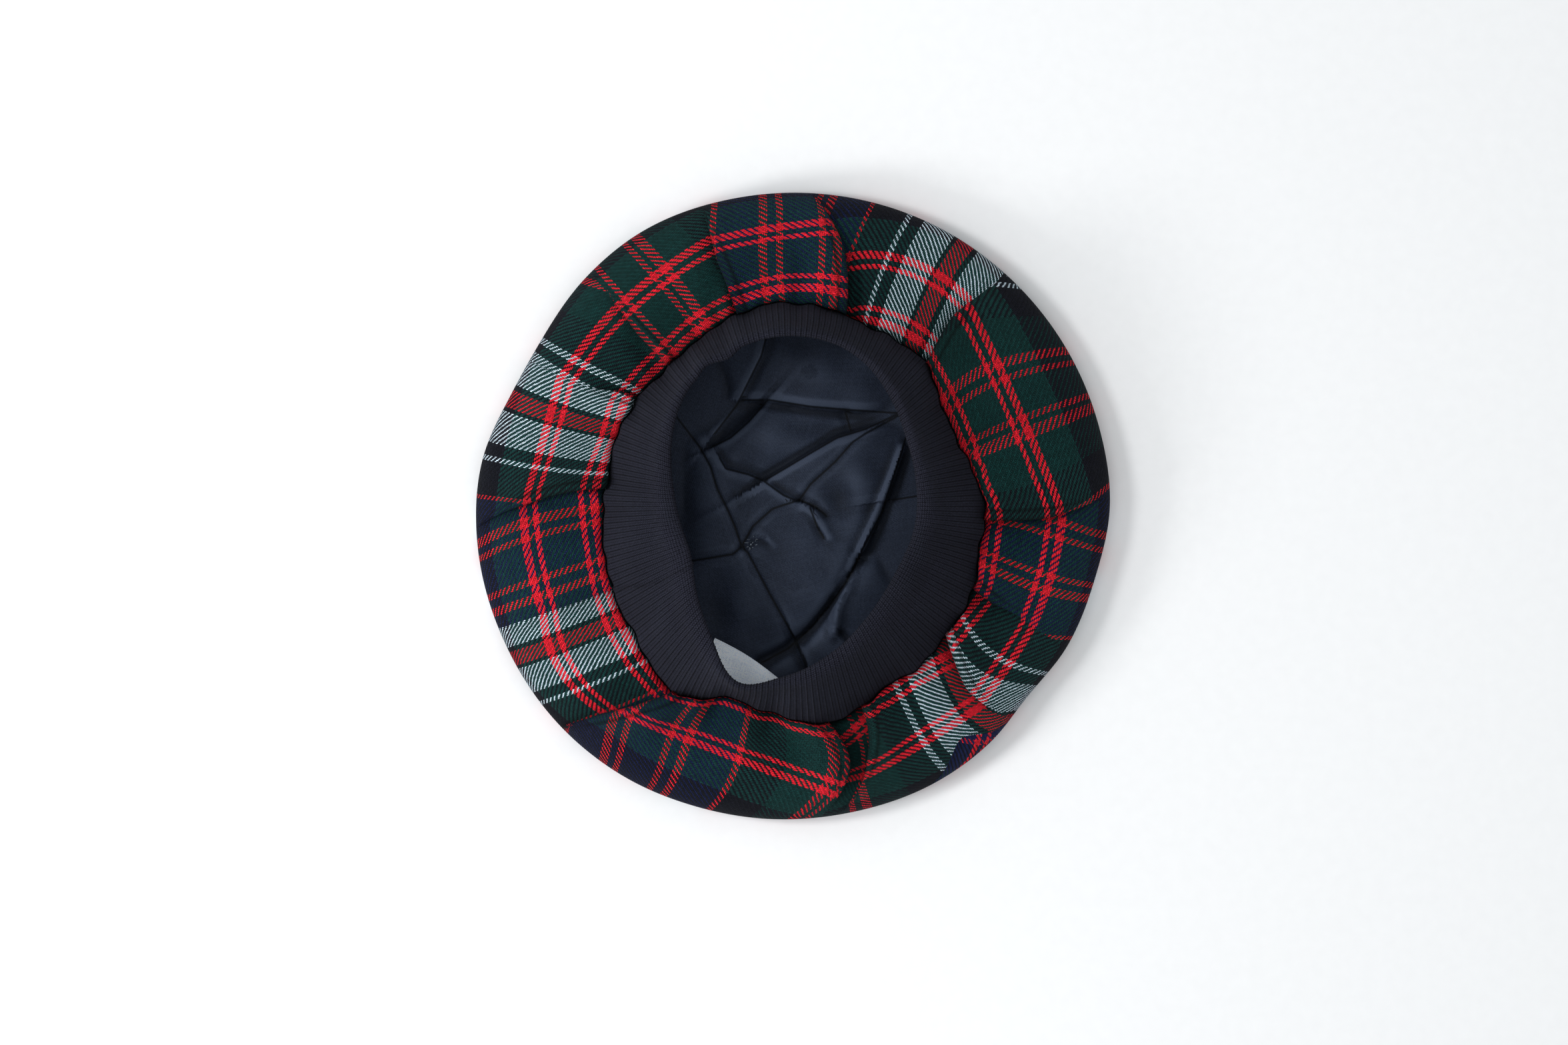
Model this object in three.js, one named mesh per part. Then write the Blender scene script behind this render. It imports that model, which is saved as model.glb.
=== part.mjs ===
// A tam o shanter that lies on its crown with the mouth up.
// Millimetres, +Z up. The origin is the middle of the crown's flat face, on the floor.
// Every surface is worked out in polar form: an angle round the hat, counterclockwise from +X,
// and a section from the floor out to the rim, in to the headband and over its lip.
import * as THREE from 'three';

// Driving dimensions
const RIM_RADIUS = 142;        // mean radius of the hat's outline, seen from above
const BAND_RADIUS = 88;        // mean radius where the tartan meets the headband
const MOUTH_WIDTH = 112;       // the opening inside the band's lip, along X
const MOUTH_LENGTH = 155;      // and along Y
const RIM_HEIGHT = 9;          // height of the hat's widest line over the floor
const RIM_ROUND = 11;          // how far in from the rim the crown lifts off the floor
const BAND_HEIGHT = 33;        // height of the tartan's inner edge, where the band begins
const EDGE_ROLL = 3.5;         // radius of the tartan's rolled edge over the band
const LIP_RISE = 34;           // height of the band's lip over that edge
const LIP_WAVE = 0.1;          // the lip stands this share higher at the long mouth's ends
const BAND_TUCK = 9;           // the band reaches this far down behind the tartan's edge
const CLOTH_WALL = 1.5;        // tartan
const KNIT_WALL = 4;           // two layers of ribbed knit
const LINING_WALL = 1.1;       // twill
const LABEL_WALL = 1;
const CLEARANCE = 0.35;        // between pieces that are sewn together
const SEAM_GAP = 0.6;          // between the two edges of the rim seam
const BAND_GAP = 0.8;          // between the tartan's rolled edge and the band
const FOLD_STEP = 5.5;         // height of the deepest pleat's edge
const FOLD_SPREAD = 17;        // the cloth settles this far to each side of a pleat
const FOLD_GAP = 1.4;          // plan width of the steep drop at a pleat
const SEAM_HOLD = 30;          // the rim seam holds the pleats flat over this turn, in degrees
const LINING_FLOOR = 3;        // height of the lining's underface over the floor
const LINING_SAG = 8;          // the lining hangs this far out behind the band
const RUMPLE_HEIGHT = 7;       // height of the lining's biggest fold
const RUMPLE_WIDTH = 8;        // half width of a lining fold
const LABEL_DROP = 22;         // height from the label's seam down to its free edge

// The outline, row by row round the hat.
// rim and join are shares of RIM_RADIUS and BAND_RADIUS, lip of the mouth's plain ellipse.
const OUTLINE = [
  { deg: 0, rim: 1.006, join: 0.983, lip: 1.018 },
  { deg: 15, rim: 1.004, join: 0.92, lip: 1.01 },
  { deg: 32, rim: 1.002, join: 0.909, lip: 1.005 },
  { deg: 48, rim: 1.0, join: 1.0, lip: 1.003 },
  { deg: 65, rim: 0.999, join: 0.994, lip: 1.0 },
  { deg: 85, rim: 0.996, join: 1.034, lip: 0.99 },
  { deg: 100, rim: 0.995, join: 1.034, lip: 1.02 },
  { deg: 118, rim: 0.995, join: 0.983, lip: 1.075 },
  { deg: 132, rim: 0.979, join: 0.955, lip: 1.126 },
  { deg: 147, rim: 0.956, join: 0.966, lip: 1.1 },
  { deg: 158, rim: 0.961, join: 0.966, lip: 1.035 },
  { deg: 172, rim: 0.996, join: 0.955, lip: 0.977 },
  { deg: 187, rim: 1.007, join: 0.977, lip: 0.943 },
  { deg: 205, rim: 1.01, join: 1.011, lip: 0.896 },
  { deg: 222, rim: 1.014, join: 1.051, lip: 0.894 },
  { deg: 238, rim: 1.01, join: 1.125, lip: 0.975 },
  { deg: 252, rim: 1.0, join: 1.03, lip: 1.063 },
  { deg: 266, rim: 0.994, join: 1.07, lip: 0.996 },
  { deg: 280, rim: 0.988, join: 1.12, lip: 0.942 },
  { deg: 297, rim: 0.986, join: 1.04, lip: 0.908 },
  { deg: 310, rim: 0.976, join: 1.04, lip: 0.911 },
  { deg: 321, rim: 0.958, join: 1.02, lip: 0.93 },
  { deg: 333, rim: 0.977, join: 1.02, lip: 0.968 },
  { deg: 347, rim: 0.986, join: 0.977, lip: 1.005 },
];

// The pleats, in order round the hat. Each runs from the band (join) past the middle to the rim.
// over: 1 where the counterclockwise side lies on top, -1 where the clockwise side does.
// step is a share of FOLD_STEP, reach the share of the cloth's width that the pleat crosses.
const PLEATS = [
  { join: -2, middle: -1, rim: 2, over: 1, step: 0.6, reach: 1.1 },
  { join: 45, middle: 48.5, rim: 47, over: -1, step: 0.9, reach: 0.9 },
  { join: 76.5, middle: 80, rim: 86.5, over: 1, step: 1, reach: 1.2 },
  { join: 104, middle: 105.5, rim: 107, over: -1, step: 0.45, reach: 1.1 },
  { join: 129.5, middle: 130.5, rim: 131, over: -1, step: 0.35, reach: 0.8 },
  { join: 147, middle: 150, rim: 151, over: 1, step: 0.4, reach: 0.4 },
  { join: 172.5, middle: 177, rim: 184, over: -1, step: 0.7, reach: 1.1 },
  { join: 204.5, middle: 203.5, rim: 202.5, over: -1, step: 0.12, reach: 1.2 },
  { join: 239, middle: 231, rim: 223.5, over: 1, step: 1, reach: 1.3 },
  { join: 277.5, middle: 281, rim: 275, over: -1, step: 0.9, reach: 1.1 },
  { join: 291, middle: 288, rim: 278, over: 1, step: 0.9, reach: 1.1 },
  { join: 322, middle: 315, rim: 316, over: 1, step: 0.6, reach: 0.9 },
  { join: 337.5, middle: 334, rim: 333, over: 1, step: 0.35, reach: 0.5 },
];

// The stretch where the rim rolls up, so that the crown's cloth shows from above.
const ROLL = { deg: 306, halfWidth: 13, turn: 40 };

// The lining's folds: each a ridge from one point to the other, in shares of half the mouth's
// width and length. height is a share of RUMPLE_HEIGHT.
const RUMPLES = [
  { x1: -0.62, y1: 0.23, x2: 0.08, y2: 0.06, height: 0.7 },
  { x1: -0.24, y1: 0.15, x2: 0.88, y2: 0.5, height: 0.8 },
  { x1: -0.42, y1: 0.62, x2: 0.82, y2: 0.56, height: 0.5 },
  { x1: 0.93, y1: 0.4, x2: 0.62, y2: -0.18, height: 1 },
  { x1: 0.62, y1: -0.18, x2: 0.1, y2: -0.78, height: 1 },
  { x1: -0.75, y1: -0.1, x2: -0.3, y2: -0.55, height: 0.4 },
];
// The point where the lining's four gores meet, in the same shares.
const GORE_MEETING = { x: -0.4, y: -0.23 };

// The label's corners. deg is an angle round the hat, reach a share of half the mouth's length.
const LABEL = { seamFrom: 241, seamTo: 265, freeFrom: 239.3, fromReach: 0.887, freeTo: 265.3, toReach: 1.0 };

// How finely the surfaces are divided
const CLOTH_COLUMN_DEG = 3.4;
const BAND_COLUMNS = 68;           // the headband and the lining share them, so that they lie parallel
const STRIP_TURNS = [180, 130, 90, 82, 66, 48, 30, 14, 0];
const CROWN_TURNS = [-28, -58, -90];
const CROWN_RING = 0.5;
const LIP_TURNS = [18, 36, 54, 72];
const LINING_RINGS = [0.84, 0.66, 0.48, 0.3, 0.14];
const LABEL_COLUMNS = 8;
const LABEL_ROWS = 4;

const TARTAN = { color: 0x12332c, roughness: 0.9, metalness: 0 };
const KNIT = { color: 0x1c1b22, roughness: 0.95, metalness: 0 };
const TWILL = { color: 0x161b26, roughness: 0.8, metalness: 0 };
const SATIN = { color: 0xc4d0dc, roughness: 0.5, metalness: 0 };

const radians = THREE.MathUtils.degToRad;
const degrees = THREE.MathUtils.radToDeg;
const lerp = THREE.MathUtils.lerp;
const smooth = (t) => THREE.MathUtils.smoothstep(t, 0, 1);

// A column of the OUTLINE table at any angle, as a smooth closed curve through its rows.
function outline(column, deg) {
  const turned = ((deg % 360) + 360) % 360;
  const count = OUTLINE.length;
  let at = OUTLINE.findIndex((row) => row.deg > turned) - 1;
  if (at < 0) at = count - 1;
  const row = (k) => OUTLINE[(at + k + count) % count];
  const place = (k) => row(k).deg + 360 * Math.floor((at + k) / count);
  const slope = (k) => (row(k + 1)[column] - row(k - 1)[column]) / (place(k + 1) - place(k - 1));
  const span = place(1) - place(0);
  const t = (turned - place(0)) / span;
  const [t2, t3] = [t * t, t * t * t];
  return row(0)[column] * (2 * t3 - 3 * t2 + 1) + slope(0) * span * (t3 - 2 * t2 + t)
    + row(1)[column] * (3 * t2 - 2 * t3) + slope(1) * span * (t3 - t2);
}

const rimRadius = (deg) => RIM_RADIUS * outline('rim', deg);
const joinRadius = (deg) => BAND_RADIUS * outline('join', deg);

function lipRadius(deg) {
  const [a, b] = [MOUTH_WIDTH / 2, MOUTH_LENGTH / 2];
  const plain = (a * b) / Math.hypot(b * Math.cos(radians(deg)), a * Math.sin(radians(deg)));
  return plain * outline('lip', deg);
}

function lipRise(deg) {
  return LIP_RISE * (1 - LIP_WAVE * Math.cos(2 * radians(deg)));
}

function polar(deg, radius, height) {
  return new THREE.Vector3(radius * Math.cos(radians(deg)), radius * Math.sin(radians(deg)), height);
}

// The turn of the tartan's section at which the rim seam lies: 0 at the widest line.
function seamTurn(deg) {
  const away = Math.abs(((deg - ROLL.deg + 540) % 360) - 180) / ROLL.halfWidth;
  return ROLL.turn * smooth(1 - away);
}

// The tartan's outer face at a turn of its section: -90 on the floor, 0 at the widest line,
// 90 on top beside the band, 180 where the rolled edge meets the band.
function tartanSection(deg, turn) {
  const [rim, join] = [rimRadius(deg), joinRadius(deg)];
  const [c, s] = [Math.cos(radians(turn)), Math.sin(radians(turn))];
  if (turn <= 0) return { radius: rim - RIM_ROUND * (1 - c), height: RIM_HEIGHT * (1 + s) };
  const top = join + EDGE_ROLL;
  if (turn <= 90) return { radius: top + (rim - top) * c, height: lerp(RIM_HEIGHT, BAND_HEIGHT, s) };
  const rolled = radians(turn - 90);
  return {
    radius: top - EDGE_ROLL * Math.sin(rolled),
    height: BAND_HEIGHT - EDGE_ROLL * (1 - Math.cos(rolled)),
  };
}

// A pleat's angle at a share of the way from the band to the rim.
function pleatAngle(pleat, out) {
  const bend = pleat.middle - (pleat.join + pleat.rim) / 2;
  return lerp(pleat.join, pleat.rim, out) + 4 * bend * out * (1 - out);
}

// Height that a pleat adds at a plan distance to its counterclockwise (1) or clockwise (-1) side.
function pleatHeight(pleat, out, side, distance) {
  const grown = smooth(1 - out / pleat.reach);
  const settled = smooth(1 - distance / FOLD_SPREAD);
  const share = side === pleat.over ? 1 : -0.35;
  return FOLD_STEP * pleat.step * grown * settled * share;
}

// A closed shell from a grid of outer points, rows[row][column]. Columns go counterclockwise and
// close round the hat where ring is true. The wall lies to the left of the way that the rows
// go, seen along the columns. Where pole is given, the last row is closed by that point.
function shell(rows, wall, { ring = true, pole = null } = {}) {
  const height = rows.length;
  const width = rows[0].length;
  const column = (c) => (ring ? (c + width) % width : THREE.MathUtils.clamp(c, 0, width - 1));
  const row = (r) => THREE.MathUtils.clamp(r, 0, height - 1);
  const step = (r, c) => rows[row(r + 1)][c].clone().sub(rows[row(r)][c]);
  const inner = rows.map((line, r) => line.map((point, c) => {
    const along = rows[r][column(c + 1)].clone().sub(rows[r][column(c - 1)]);
    const across = step(r, c).add(step(row(r - 1), c));
    if (r === 0) across.copy(step(0, c).multiplyScalar(3).sub(step(1, c)));
    if (r === rows.length - 1) across.copy(step(r - 1, c).multiplyScalar(3).sub(step(r - 2, c)));
    return point.clone().addScaledVector(along.cross(across).normalize(), wall);
  }));
  const points = [...rows.flat(), ...inner.flat()];
  const outerAt = (r, c) => r * width + column(c);
  const innerAt = (r, c) => height * width + outerAt(r, c);
  const [last, side] = [height - 1, width - 1];
  const triangles = [];
  const quad = (a, b, c, d) => triangles.push(a, b, c, a, c, d);
  const columns = ring ? width : width - 1;
  for (let c = 0; c < columns; c += 1) {
    for (let r = 0; r < height - 1; r += 1) {
      quad(outerAt(r, c), outerAt(r + 1, c), outerAt(r + 1, c + 1), outerAt(r, c + 1));
      quad(innerAt(r, c), innerAt(r, c + 1), innerAt(r + 1, c + 1), innerAt(r + 1, c));
    }
    quad(outerAt(0, c), outerAt(0, c + 1), innerAt(0, c + 1), innerAt(0, c));
    if (!pole) {
      quad(outerAt(last, c), innerAt(last, c), innerAt(last, c + 1), outerAt(last, c + 1));
    }
  }
  if (!ring) {
    for (let r = 0; r < height - 1; r += 1) {
      quad(outerAt(r, 0), innerAt(r, 0), innerAt(r + 1, 0), outerAt(r + 1, 0));
      quad(outerAt(r, side), outerAt(r + 1, side), innerAt(r + 1, side), innerAt(r, side));
    }
  }
  if (pole) {
    points.push(pole, pole.clone().add(new THREE.Vector3(0, 0, wall)));
    for (let c = 0; c < columns; c += 1) {
      triangles.push(outerAt(last, c), points.length - 2, outerAt(last, c + 1));
      triangles.push(innerAt(last, c), innerAt(last, c + 1), points.length - 1);
    }
  }
  return closedGeometry(points, triangles);
}

// Makes the geometry, with its faces turned outwards.
function closedGeometry(points, triangles) {
  let volume = 0;
  for (let i = 0; i < triangles.length; i += 3) {
    const [a, b, c] = [points[triangles[i]], points[triangles[i + 1]], points[triangles[i + 2]]];
    volume += a.dot(b.clone().cross(c));
  }
  if (volume < 0) triangles.reverse();
  const geometry = new THREE.BufferGeometry().setFromPoints(points);
  geometry.setIndex(triangles);
  geometry.computeVertexNormals();
  return geometry;
}

// Half of the seam's gap, as a turn of the tartan's section.
function gapTurn(height) {
  return degrees(SEAM_GAP / 2 / height);
}

// The crown's columns meet the strip's, so that the two edges match all along the rim seam.
function crown() {
  const columns = stripColumns();
  const degs = columns.map((column) => stripAngles(column, columnSeamTurn(column)).deg);
  const edge = columns.map((column) => columnSeamTurn(column) - gapTurn(RIM_HEIGHT));
  const section = (deg, turn) => {
    const { radius, height } = tartanSection(deg, turn);
    return polar(deg, radius, height);
  };
  const rows = [
    degs.map((deg, c) => section(deg, edge[c])),
    ...CROWN_TURNS.map((turn) => degs.map((deg) => section(deg, turn))),
    degs.map((deg) => polar(deg, CROWN_RING * (rimRadius(deg) - RIM_ROUND), 0)),
  ];
  return shell(rows, CLOTH_WALL, { pole: new THREE.Vector3(0, 0, 0) });
}

// The columns of the pleated strip: from the top of one pleat's edge to the foot of the next.
function stripColumns() {
  return PLEATS.flatMap((from, k) => {
    const next = PLEATS[(k + 1) % PLEATS.length];
    const lap = k + 1 === PLEATS.length ? 360 : 0;
    const to = { ...next, join: next.join + lap, middle: next.middle + lap, rim: next.rim + lap };
    const count = Math.max(2, Math.round((to.middle - from.middle) / CLOTH_COLUMN_DEG));
    return Array.from({ length: count + 1 }, (_, c) => ({ from, to, share: c / count }));
  });
}

function columnSeamTurn({ from, to, share }) {
  return seamTurn(lerp(from.rim, to.rim, share));
}

// Where a column lies at a turn of the section, between the edges of its two pleats.
// out is the share of the way from the band to the rim.
function stripAngles({ from, to, share }, turn) {
  const about = lerp(from.middle, to.middle, share);
  const { radius } = tartanSection(about, turn);
  const reached = (radius - joinRadius(about)) / (rimRadius(about) - joinRadius(about));
  const out = THREE.MathUtils.clamp(reached, 0, 1);
  const gap = degrees(FOLD_GAP / 2 / lerp(BAND_RADIUS, RIM_RADIUS, out));
  const start = pleatAngle(from, out) + gap;
  const end = pleatAngle(to, out) - gap;
  return { out, start, end, deg: lerp(start, end, share) };
}

function stripPoint(column, turn) {
  const { out, start, end, deg } = stripAngles(column, turn);
  const { radius, height } = tartanSection(deg, turn);
  const fromEdge = radians(deg - start) * radius;
  const toEdge = radians(end - deg) * radius;
  const raised = pleatHeight(column.from, out, 1, fromEdge) + pleatHeight(column.to, out, -1, toEdge);
  const free = smooth((turn - columnSeamTurn(column)) / SEAM_HOLD);
  return polar(deg, radius, height + raised * free);
}

function underside() {
  const columns = stripColumns();
  const rows = STRIP_TURNS.map((turn) => columns.map((column) => {
    const edge = columnSeamTurn(column) + gapTurn(BAND_HEIGHT - RIM_HEIGHT);
    return stripPoint(column, turn < 90 ? lerp(edge, 90, turn / 90) : turn);
  }));
  return shell(rows, CLOTH_WALL);
}

// The band's outer face from its hidden foot (turn below 0) to the lip (turn 90).
function bandSection(deg, turn) {
  const foot = joinRadius(deg) - BAND_GAP;
  if (turn < 0) return { radius: foot, height: BAND_HEIGHT - BAND_TUCK };
  const lip = lipRadius(deg) + KNIT_WALL / 2;
  const t = radians(turn);
  return {
    radius: lip + (foot - lip) * Math.cos(t),
    height: BAND_HEIGHT - EDGE_ROLL + (lipRise(deg) + EDGE_ROLL) * Math.sin(t),
  };
}

function headband() {
  const degs = Array.from({ length: BAND_COLUMNS }, (_, c) => (360 * c) / BAND_COLUMNS);
  const outer = [-1, 0, ...LIP_TURNS, 90].map((turn) => degs.map((deg) => {
    const { radius, height } = bandSection(deg, turn);
    return polar(deg, radius, height);
  }));
  const nose = degs.map((deg) => {
    const { height } = bandSection(deg, 90);
    return polar(deg, lipRadius(deg), height - KNIT_WALL / 2);
  });
  return bandShell(outer, nose, degs);
}

// The band's outer face, the round nose of its lip, and its inner face a wall further in.
function bandShell(outer, nose, degs) {
  const inner = [90, ...[...LIP_TURNS].reverse(), 0, -1].map((turn) => degs.map((deg) => {
    const { radius, height } = bandSection(deg, turn);
    const lean = Math.max(turn, 0);
    const [inwards, down] = [Math.cos(radians(lean)), Math.sin(radians(lean))];
    return polar(deg, radius - KNIT_WALL * inwards, height - KNIT_WALL * down);
  }));
  const rows = [...outer, nose, ...inner];
  const width = degs.length;
  const triangles = [];
  rows.forEach((_, r) => {
    for (let c = 0; c < width; c += 1) {
      const [below, beside] = [(r + 1) % rows.length, (c + 1) % width];
      const [a, b] = [r * width + c, below * width + c];
      const [d, e] = [r * width + beside, below * width + beside];
      triangles.push(a, b, e, a, e, d);
    }
  });
  return closedGeometry(rows.flat(), triangles);
}

// A point given in shares of half the mouth's width and length.
function mouthPoint(x, y) {
  return new THREE.Vector3((x * MOUTH_WIDTH) / 2, (y * MOUTH_LENGTH) / 2, 0);
}

// Height of the lining's folds at a point of its floor.
function rumple(x, y) {
  const point = new THREE.Vector3(x, y, 0);
  return RUMPLES.reduce((highest, fold) => {
    const ridge = new THREE.Line3(mouthPoint(fold.x1, fold.y1), mouthPoint(fold.x2, fold.y2));
    const nearest = ridge.closestPointToPoint(point, true, new THREE.Vector3());
    const away = point.distanceTo(nearest) / RUMPLE_WIDTH;
    return Math.max(highest, RUMPLE_HEIGHT * fold.height * Math.exp(-away * away));
  }, 0);
}

function lining() {
  const degs = Array.from({ length: BAND_COLUMNS }, (_, c) => (360 * c) / BAND_COLUMNS);
  const top = (deg) => joinRadius(deg) - BAND_GAP - KNIT_WALL - CLEARANCE;
  const foot = BAND_HEIGHT - BAND_TUCK;
  const hang = [
    { out: 0, height: BAND_HEIGHT - EDGE_ROLL - CLEARANCE },
    { out: 0, height: foot - CLEARANCE },
    { out: LINING_SAG, height: lerp(foot, LINING_FLOOR, 0.45) },
    { out: LINING_SAG * 0.9, height: lerp(foot, LINING_FLOOR, 0.8) },
    { out: 0, height: LINING_FLOOR },
  ];
  const meeting = mouthPoint(GORE_MEETING.x, GORE_MEETING.y);
  const floorPoint = (deg, share) => {
    const point = polar(deg, share * top(deg), 0).addScaledVector(meeting, 1 - share);
    return point.setZ(LINING_FLOOR + rumple(point.x, point.y));
  };
  const rows = [
    ...hang.map(({ out, height }) => degs.map((deg) => polar(deg, top(deg) + out, height))),
    ...LINING_RINGS.map((share) => degs.map((deg) => floorPoint(deg, share))),
  ];
  return shell(rows, LINING_WALL, { pole: floorPoint(0, 0) });
}

function label() {
  const top = BAND_HEIGHT - EDGE_ROLL;
  const half = MOUTH_LENGTH / 2;
  const freeStart = polar(LABEL.freeFrom, LABEL.fromReach * half, top - LABEL_DROP);
  const freeEnd = polar(LABEL.freeTo, LABEL.toReach * half, top - LABEL_DROP);
  const rows = Array.from({ length: LABEL_ROWS + 1 }, (_, r) => (
    Array.from({ length: LABEL_COLUMNS + 1 }, (__, c) => {
      const deg = lerp(LABEL.seamFrom, LABEL.seamTo, c / LABEL_COLUMNS);
      const behind = BAND_GAP + KNIT_WALL + CLEARANCE + LINING_WALL + CLEARANCE;
      const seam = polar(deg, joinRadius(deg) - behind, top);
      const free = freeStart.clone().lerp(freeEnd, c / LABEL_COLUMNS);
      return seam.lerp(free, r / LABEL_ROWS);
    })
  ));
  return shell(rows, LABEL_WALL, { ring: false });
}

function piece(name, geometry, finish) {
  const mesh = new THREE.Mesh(geometry, new THREE.MeshStandardMaterial(finish));
  mesh.name = name;
  return mesh;
}

const hat = new THREE.Group();
hat.add(
  piece('crown', crown(), TARTAN),
  piece('underside', underside(), TARTAN),
  piece('headband', headband(), KNIT),
  piece('lining', lining(), TWILL),
  piece('label', label(), SATIN),
);

export default hat;
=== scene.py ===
import math

import bpy
import numpy as np
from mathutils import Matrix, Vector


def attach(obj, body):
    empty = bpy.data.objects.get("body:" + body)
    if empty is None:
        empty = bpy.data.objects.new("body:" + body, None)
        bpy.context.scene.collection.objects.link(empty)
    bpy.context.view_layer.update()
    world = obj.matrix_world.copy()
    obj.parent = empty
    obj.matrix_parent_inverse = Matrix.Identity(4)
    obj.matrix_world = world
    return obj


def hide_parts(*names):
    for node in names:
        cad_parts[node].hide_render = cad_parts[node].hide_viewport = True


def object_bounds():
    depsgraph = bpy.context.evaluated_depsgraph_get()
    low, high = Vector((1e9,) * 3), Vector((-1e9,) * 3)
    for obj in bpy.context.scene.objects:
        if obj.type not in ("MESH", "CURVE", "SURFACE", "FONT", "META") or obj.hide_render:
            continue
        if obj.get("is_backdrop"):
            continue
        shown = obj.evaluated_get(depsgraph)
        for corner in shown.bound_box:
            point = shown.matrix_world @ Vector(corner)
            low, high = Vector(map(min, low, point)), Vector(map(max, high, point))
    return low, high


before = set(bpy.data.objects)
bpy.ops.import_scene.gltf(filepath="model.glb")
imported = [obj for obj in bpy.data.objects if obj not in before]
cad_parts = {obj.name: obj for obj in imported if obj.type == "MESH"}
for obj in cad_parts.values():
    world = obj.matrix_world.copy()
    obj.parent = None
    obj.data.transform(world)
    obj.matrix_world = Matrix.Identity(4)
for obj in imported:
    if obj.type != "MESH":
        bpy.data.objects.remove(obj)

cad_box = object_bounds()

# The crown: one round of brushed wool tartan, 1.2 mm thick, that lies flat on the floor.
# Its edge turns up all round to the rim seam, where it is sewn to the pleated strip.
THREAD = 0.00069        # from one thread of the twill to the next
CLOTH_WALL = 0.0012
RIM_RADIUS = 0.142
RIM_HEIGHT = 0.009      # the widest line over the floor
RIM_ROUND = 0.011       # how far in from the rim the crown lifts off the floor
SEAM_HALF = 0.0003      # half the gap between the rim seam's two edges
SEAM_TUCK = (0.0006, 0.0022)    # how deep the turned-in edges lie behind it
CROWN_SLACK = 0.0005    # the flat face's waves
BAND_RADIUS = 0.088
BAND_HEIGHT = 0.033     # the strip's inner edge, where the band begins
EDGE_ROLL = 0.0035      # radius of that edge where it turns down to the band
OUTLINE_DEGS = np.array([
    0, 15, 32, 48, 65, 85, 100, 118, 132, 147, 158, 172,
    187, 205, 222, 238, 252, 266, 280, 297, 310, 321, 333, 347,
], float)
RIM_SHARES = [
    1.006, 1.004, 1.002, 1.0, 0.999, 0.996, 0.995, 0.995, 0.979, 0.956, 0.961, 0.996,
    1.007, 1.01, 1.014, 1.01, 1.0, 0.994, 0.988, 0.986, 0.976, 0.958, 0.977, 0.986,
]


def smooth(t):
    t = np.clip(t, 0, 1)
    return t * t * (3 - 2 * t)


def mix(a, b, t):
    return a + (b - a) * t


def round_the_hat(shares):
    """A smooth closed curve through the shares, one for each of OUTLINE_DEGS."""
    places = np.array([OUTLINE_DEGS[-1] - 360, *OUTLINE_DEGS, *(OUTLINE_DEGS[:2] + 360)])
    values = np.array([shares[-1], *shares, *shares[:2]])
    slopes = (values[2:] - values[:-2]) / (places[2:] - places[:-2])

    def at(deg):
        turned = np.mod(deg, 360)
        k = np.searchsorted(OUTLINE_DEGS, turned, side="right")
        span = places[k + 1] - places[k]
        t = (turned - places[k]) / span
        first = values[k] * (2 * t**3 - 3 * t**2 + 1) + slopes[k - 1] * span * (t**3 - 2 * t**2 + t)
        return first + values[k + 1] * (3 * t**2 - 2 * t**3) + slopes[k] * span * (t**3 - t**2)

    return at


rim_share = round_the_hat(RIM_SHARES)


def swell(deg, counts, turns):
    """A slow wave round the hat, from -1 to 1, that meets itself after one turn."""
    waves = [np.sin(np.radians(n * deg + a)) for n, a in zip(counts, turns)]
    return sum(waves) / len(counts)


def window(deg, middle, half):
    """1 at the middle of a stretch of the round, falling to 0 at half its width away."""
    away = np.abs(np.mod(deg - middle + 180, 360) - 180) / half
    return smooth(1 - away)


def seam_turn(deg):
    """Where the rim seam lies in the section: it rolls up into view near 306 degrees."""
    return 40 * window(deg, 306, 13)


def polar(deg, radius, height):
    angle = np.radians(deg)
    return np.stack([radius * np.cos(angle), radius * np.sin(angle), height], axis=-1)


def steps_along(grid, axis):
    """Distance along a grid of points from its first row or column."""
    size = np.linalg.norm(np.diff(grid, axis=axis), axis=-1)
    first = np.zeros_like(np.take(size, [0], axis=axis))
    return np.concatenate([first, np.cumsum(size, axis=axis)], axis=axis)


def face_normals(grid, side, ring):
    if ring:
        along = np.roll(grid, -1, 1) - np.roll(grid, 1, 1)
    else:
        along = np.gradient(grid, axis=1)
    across = np.gradient(grid, axis=0)
    normal = np.cross(along, across) * side
    return normal / np.maximum(np.linalg.norm(normal, axis=-1, keepdims=True), 1e-12)


def tucked(grid, side):
    """The grid with its first row turned in behind it, as at the rim seam."""
    normal = face_normals(grid, side, True)[0]
    return np.concatenate([[grid[0] - normal * depth for depth in reversed(SEAM_TUCK)], grid])


def placed(name, content):
    """A mesh, a light or a camera as an object in the scene."""
    item = bpy.data.objects.new(name, content)
    bpy.context.scene.collection.objects.link(item)
    return item


def point_values(mesh, name, values):
    """A number for each point of a mesh, for its nodes to read."""
    layer = mesh.attributes.new(name, "FLOAT", "POINT")
    layer.data.foreach_set("value", np.asarray(values).astype(np.float32).ravel())


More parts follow.
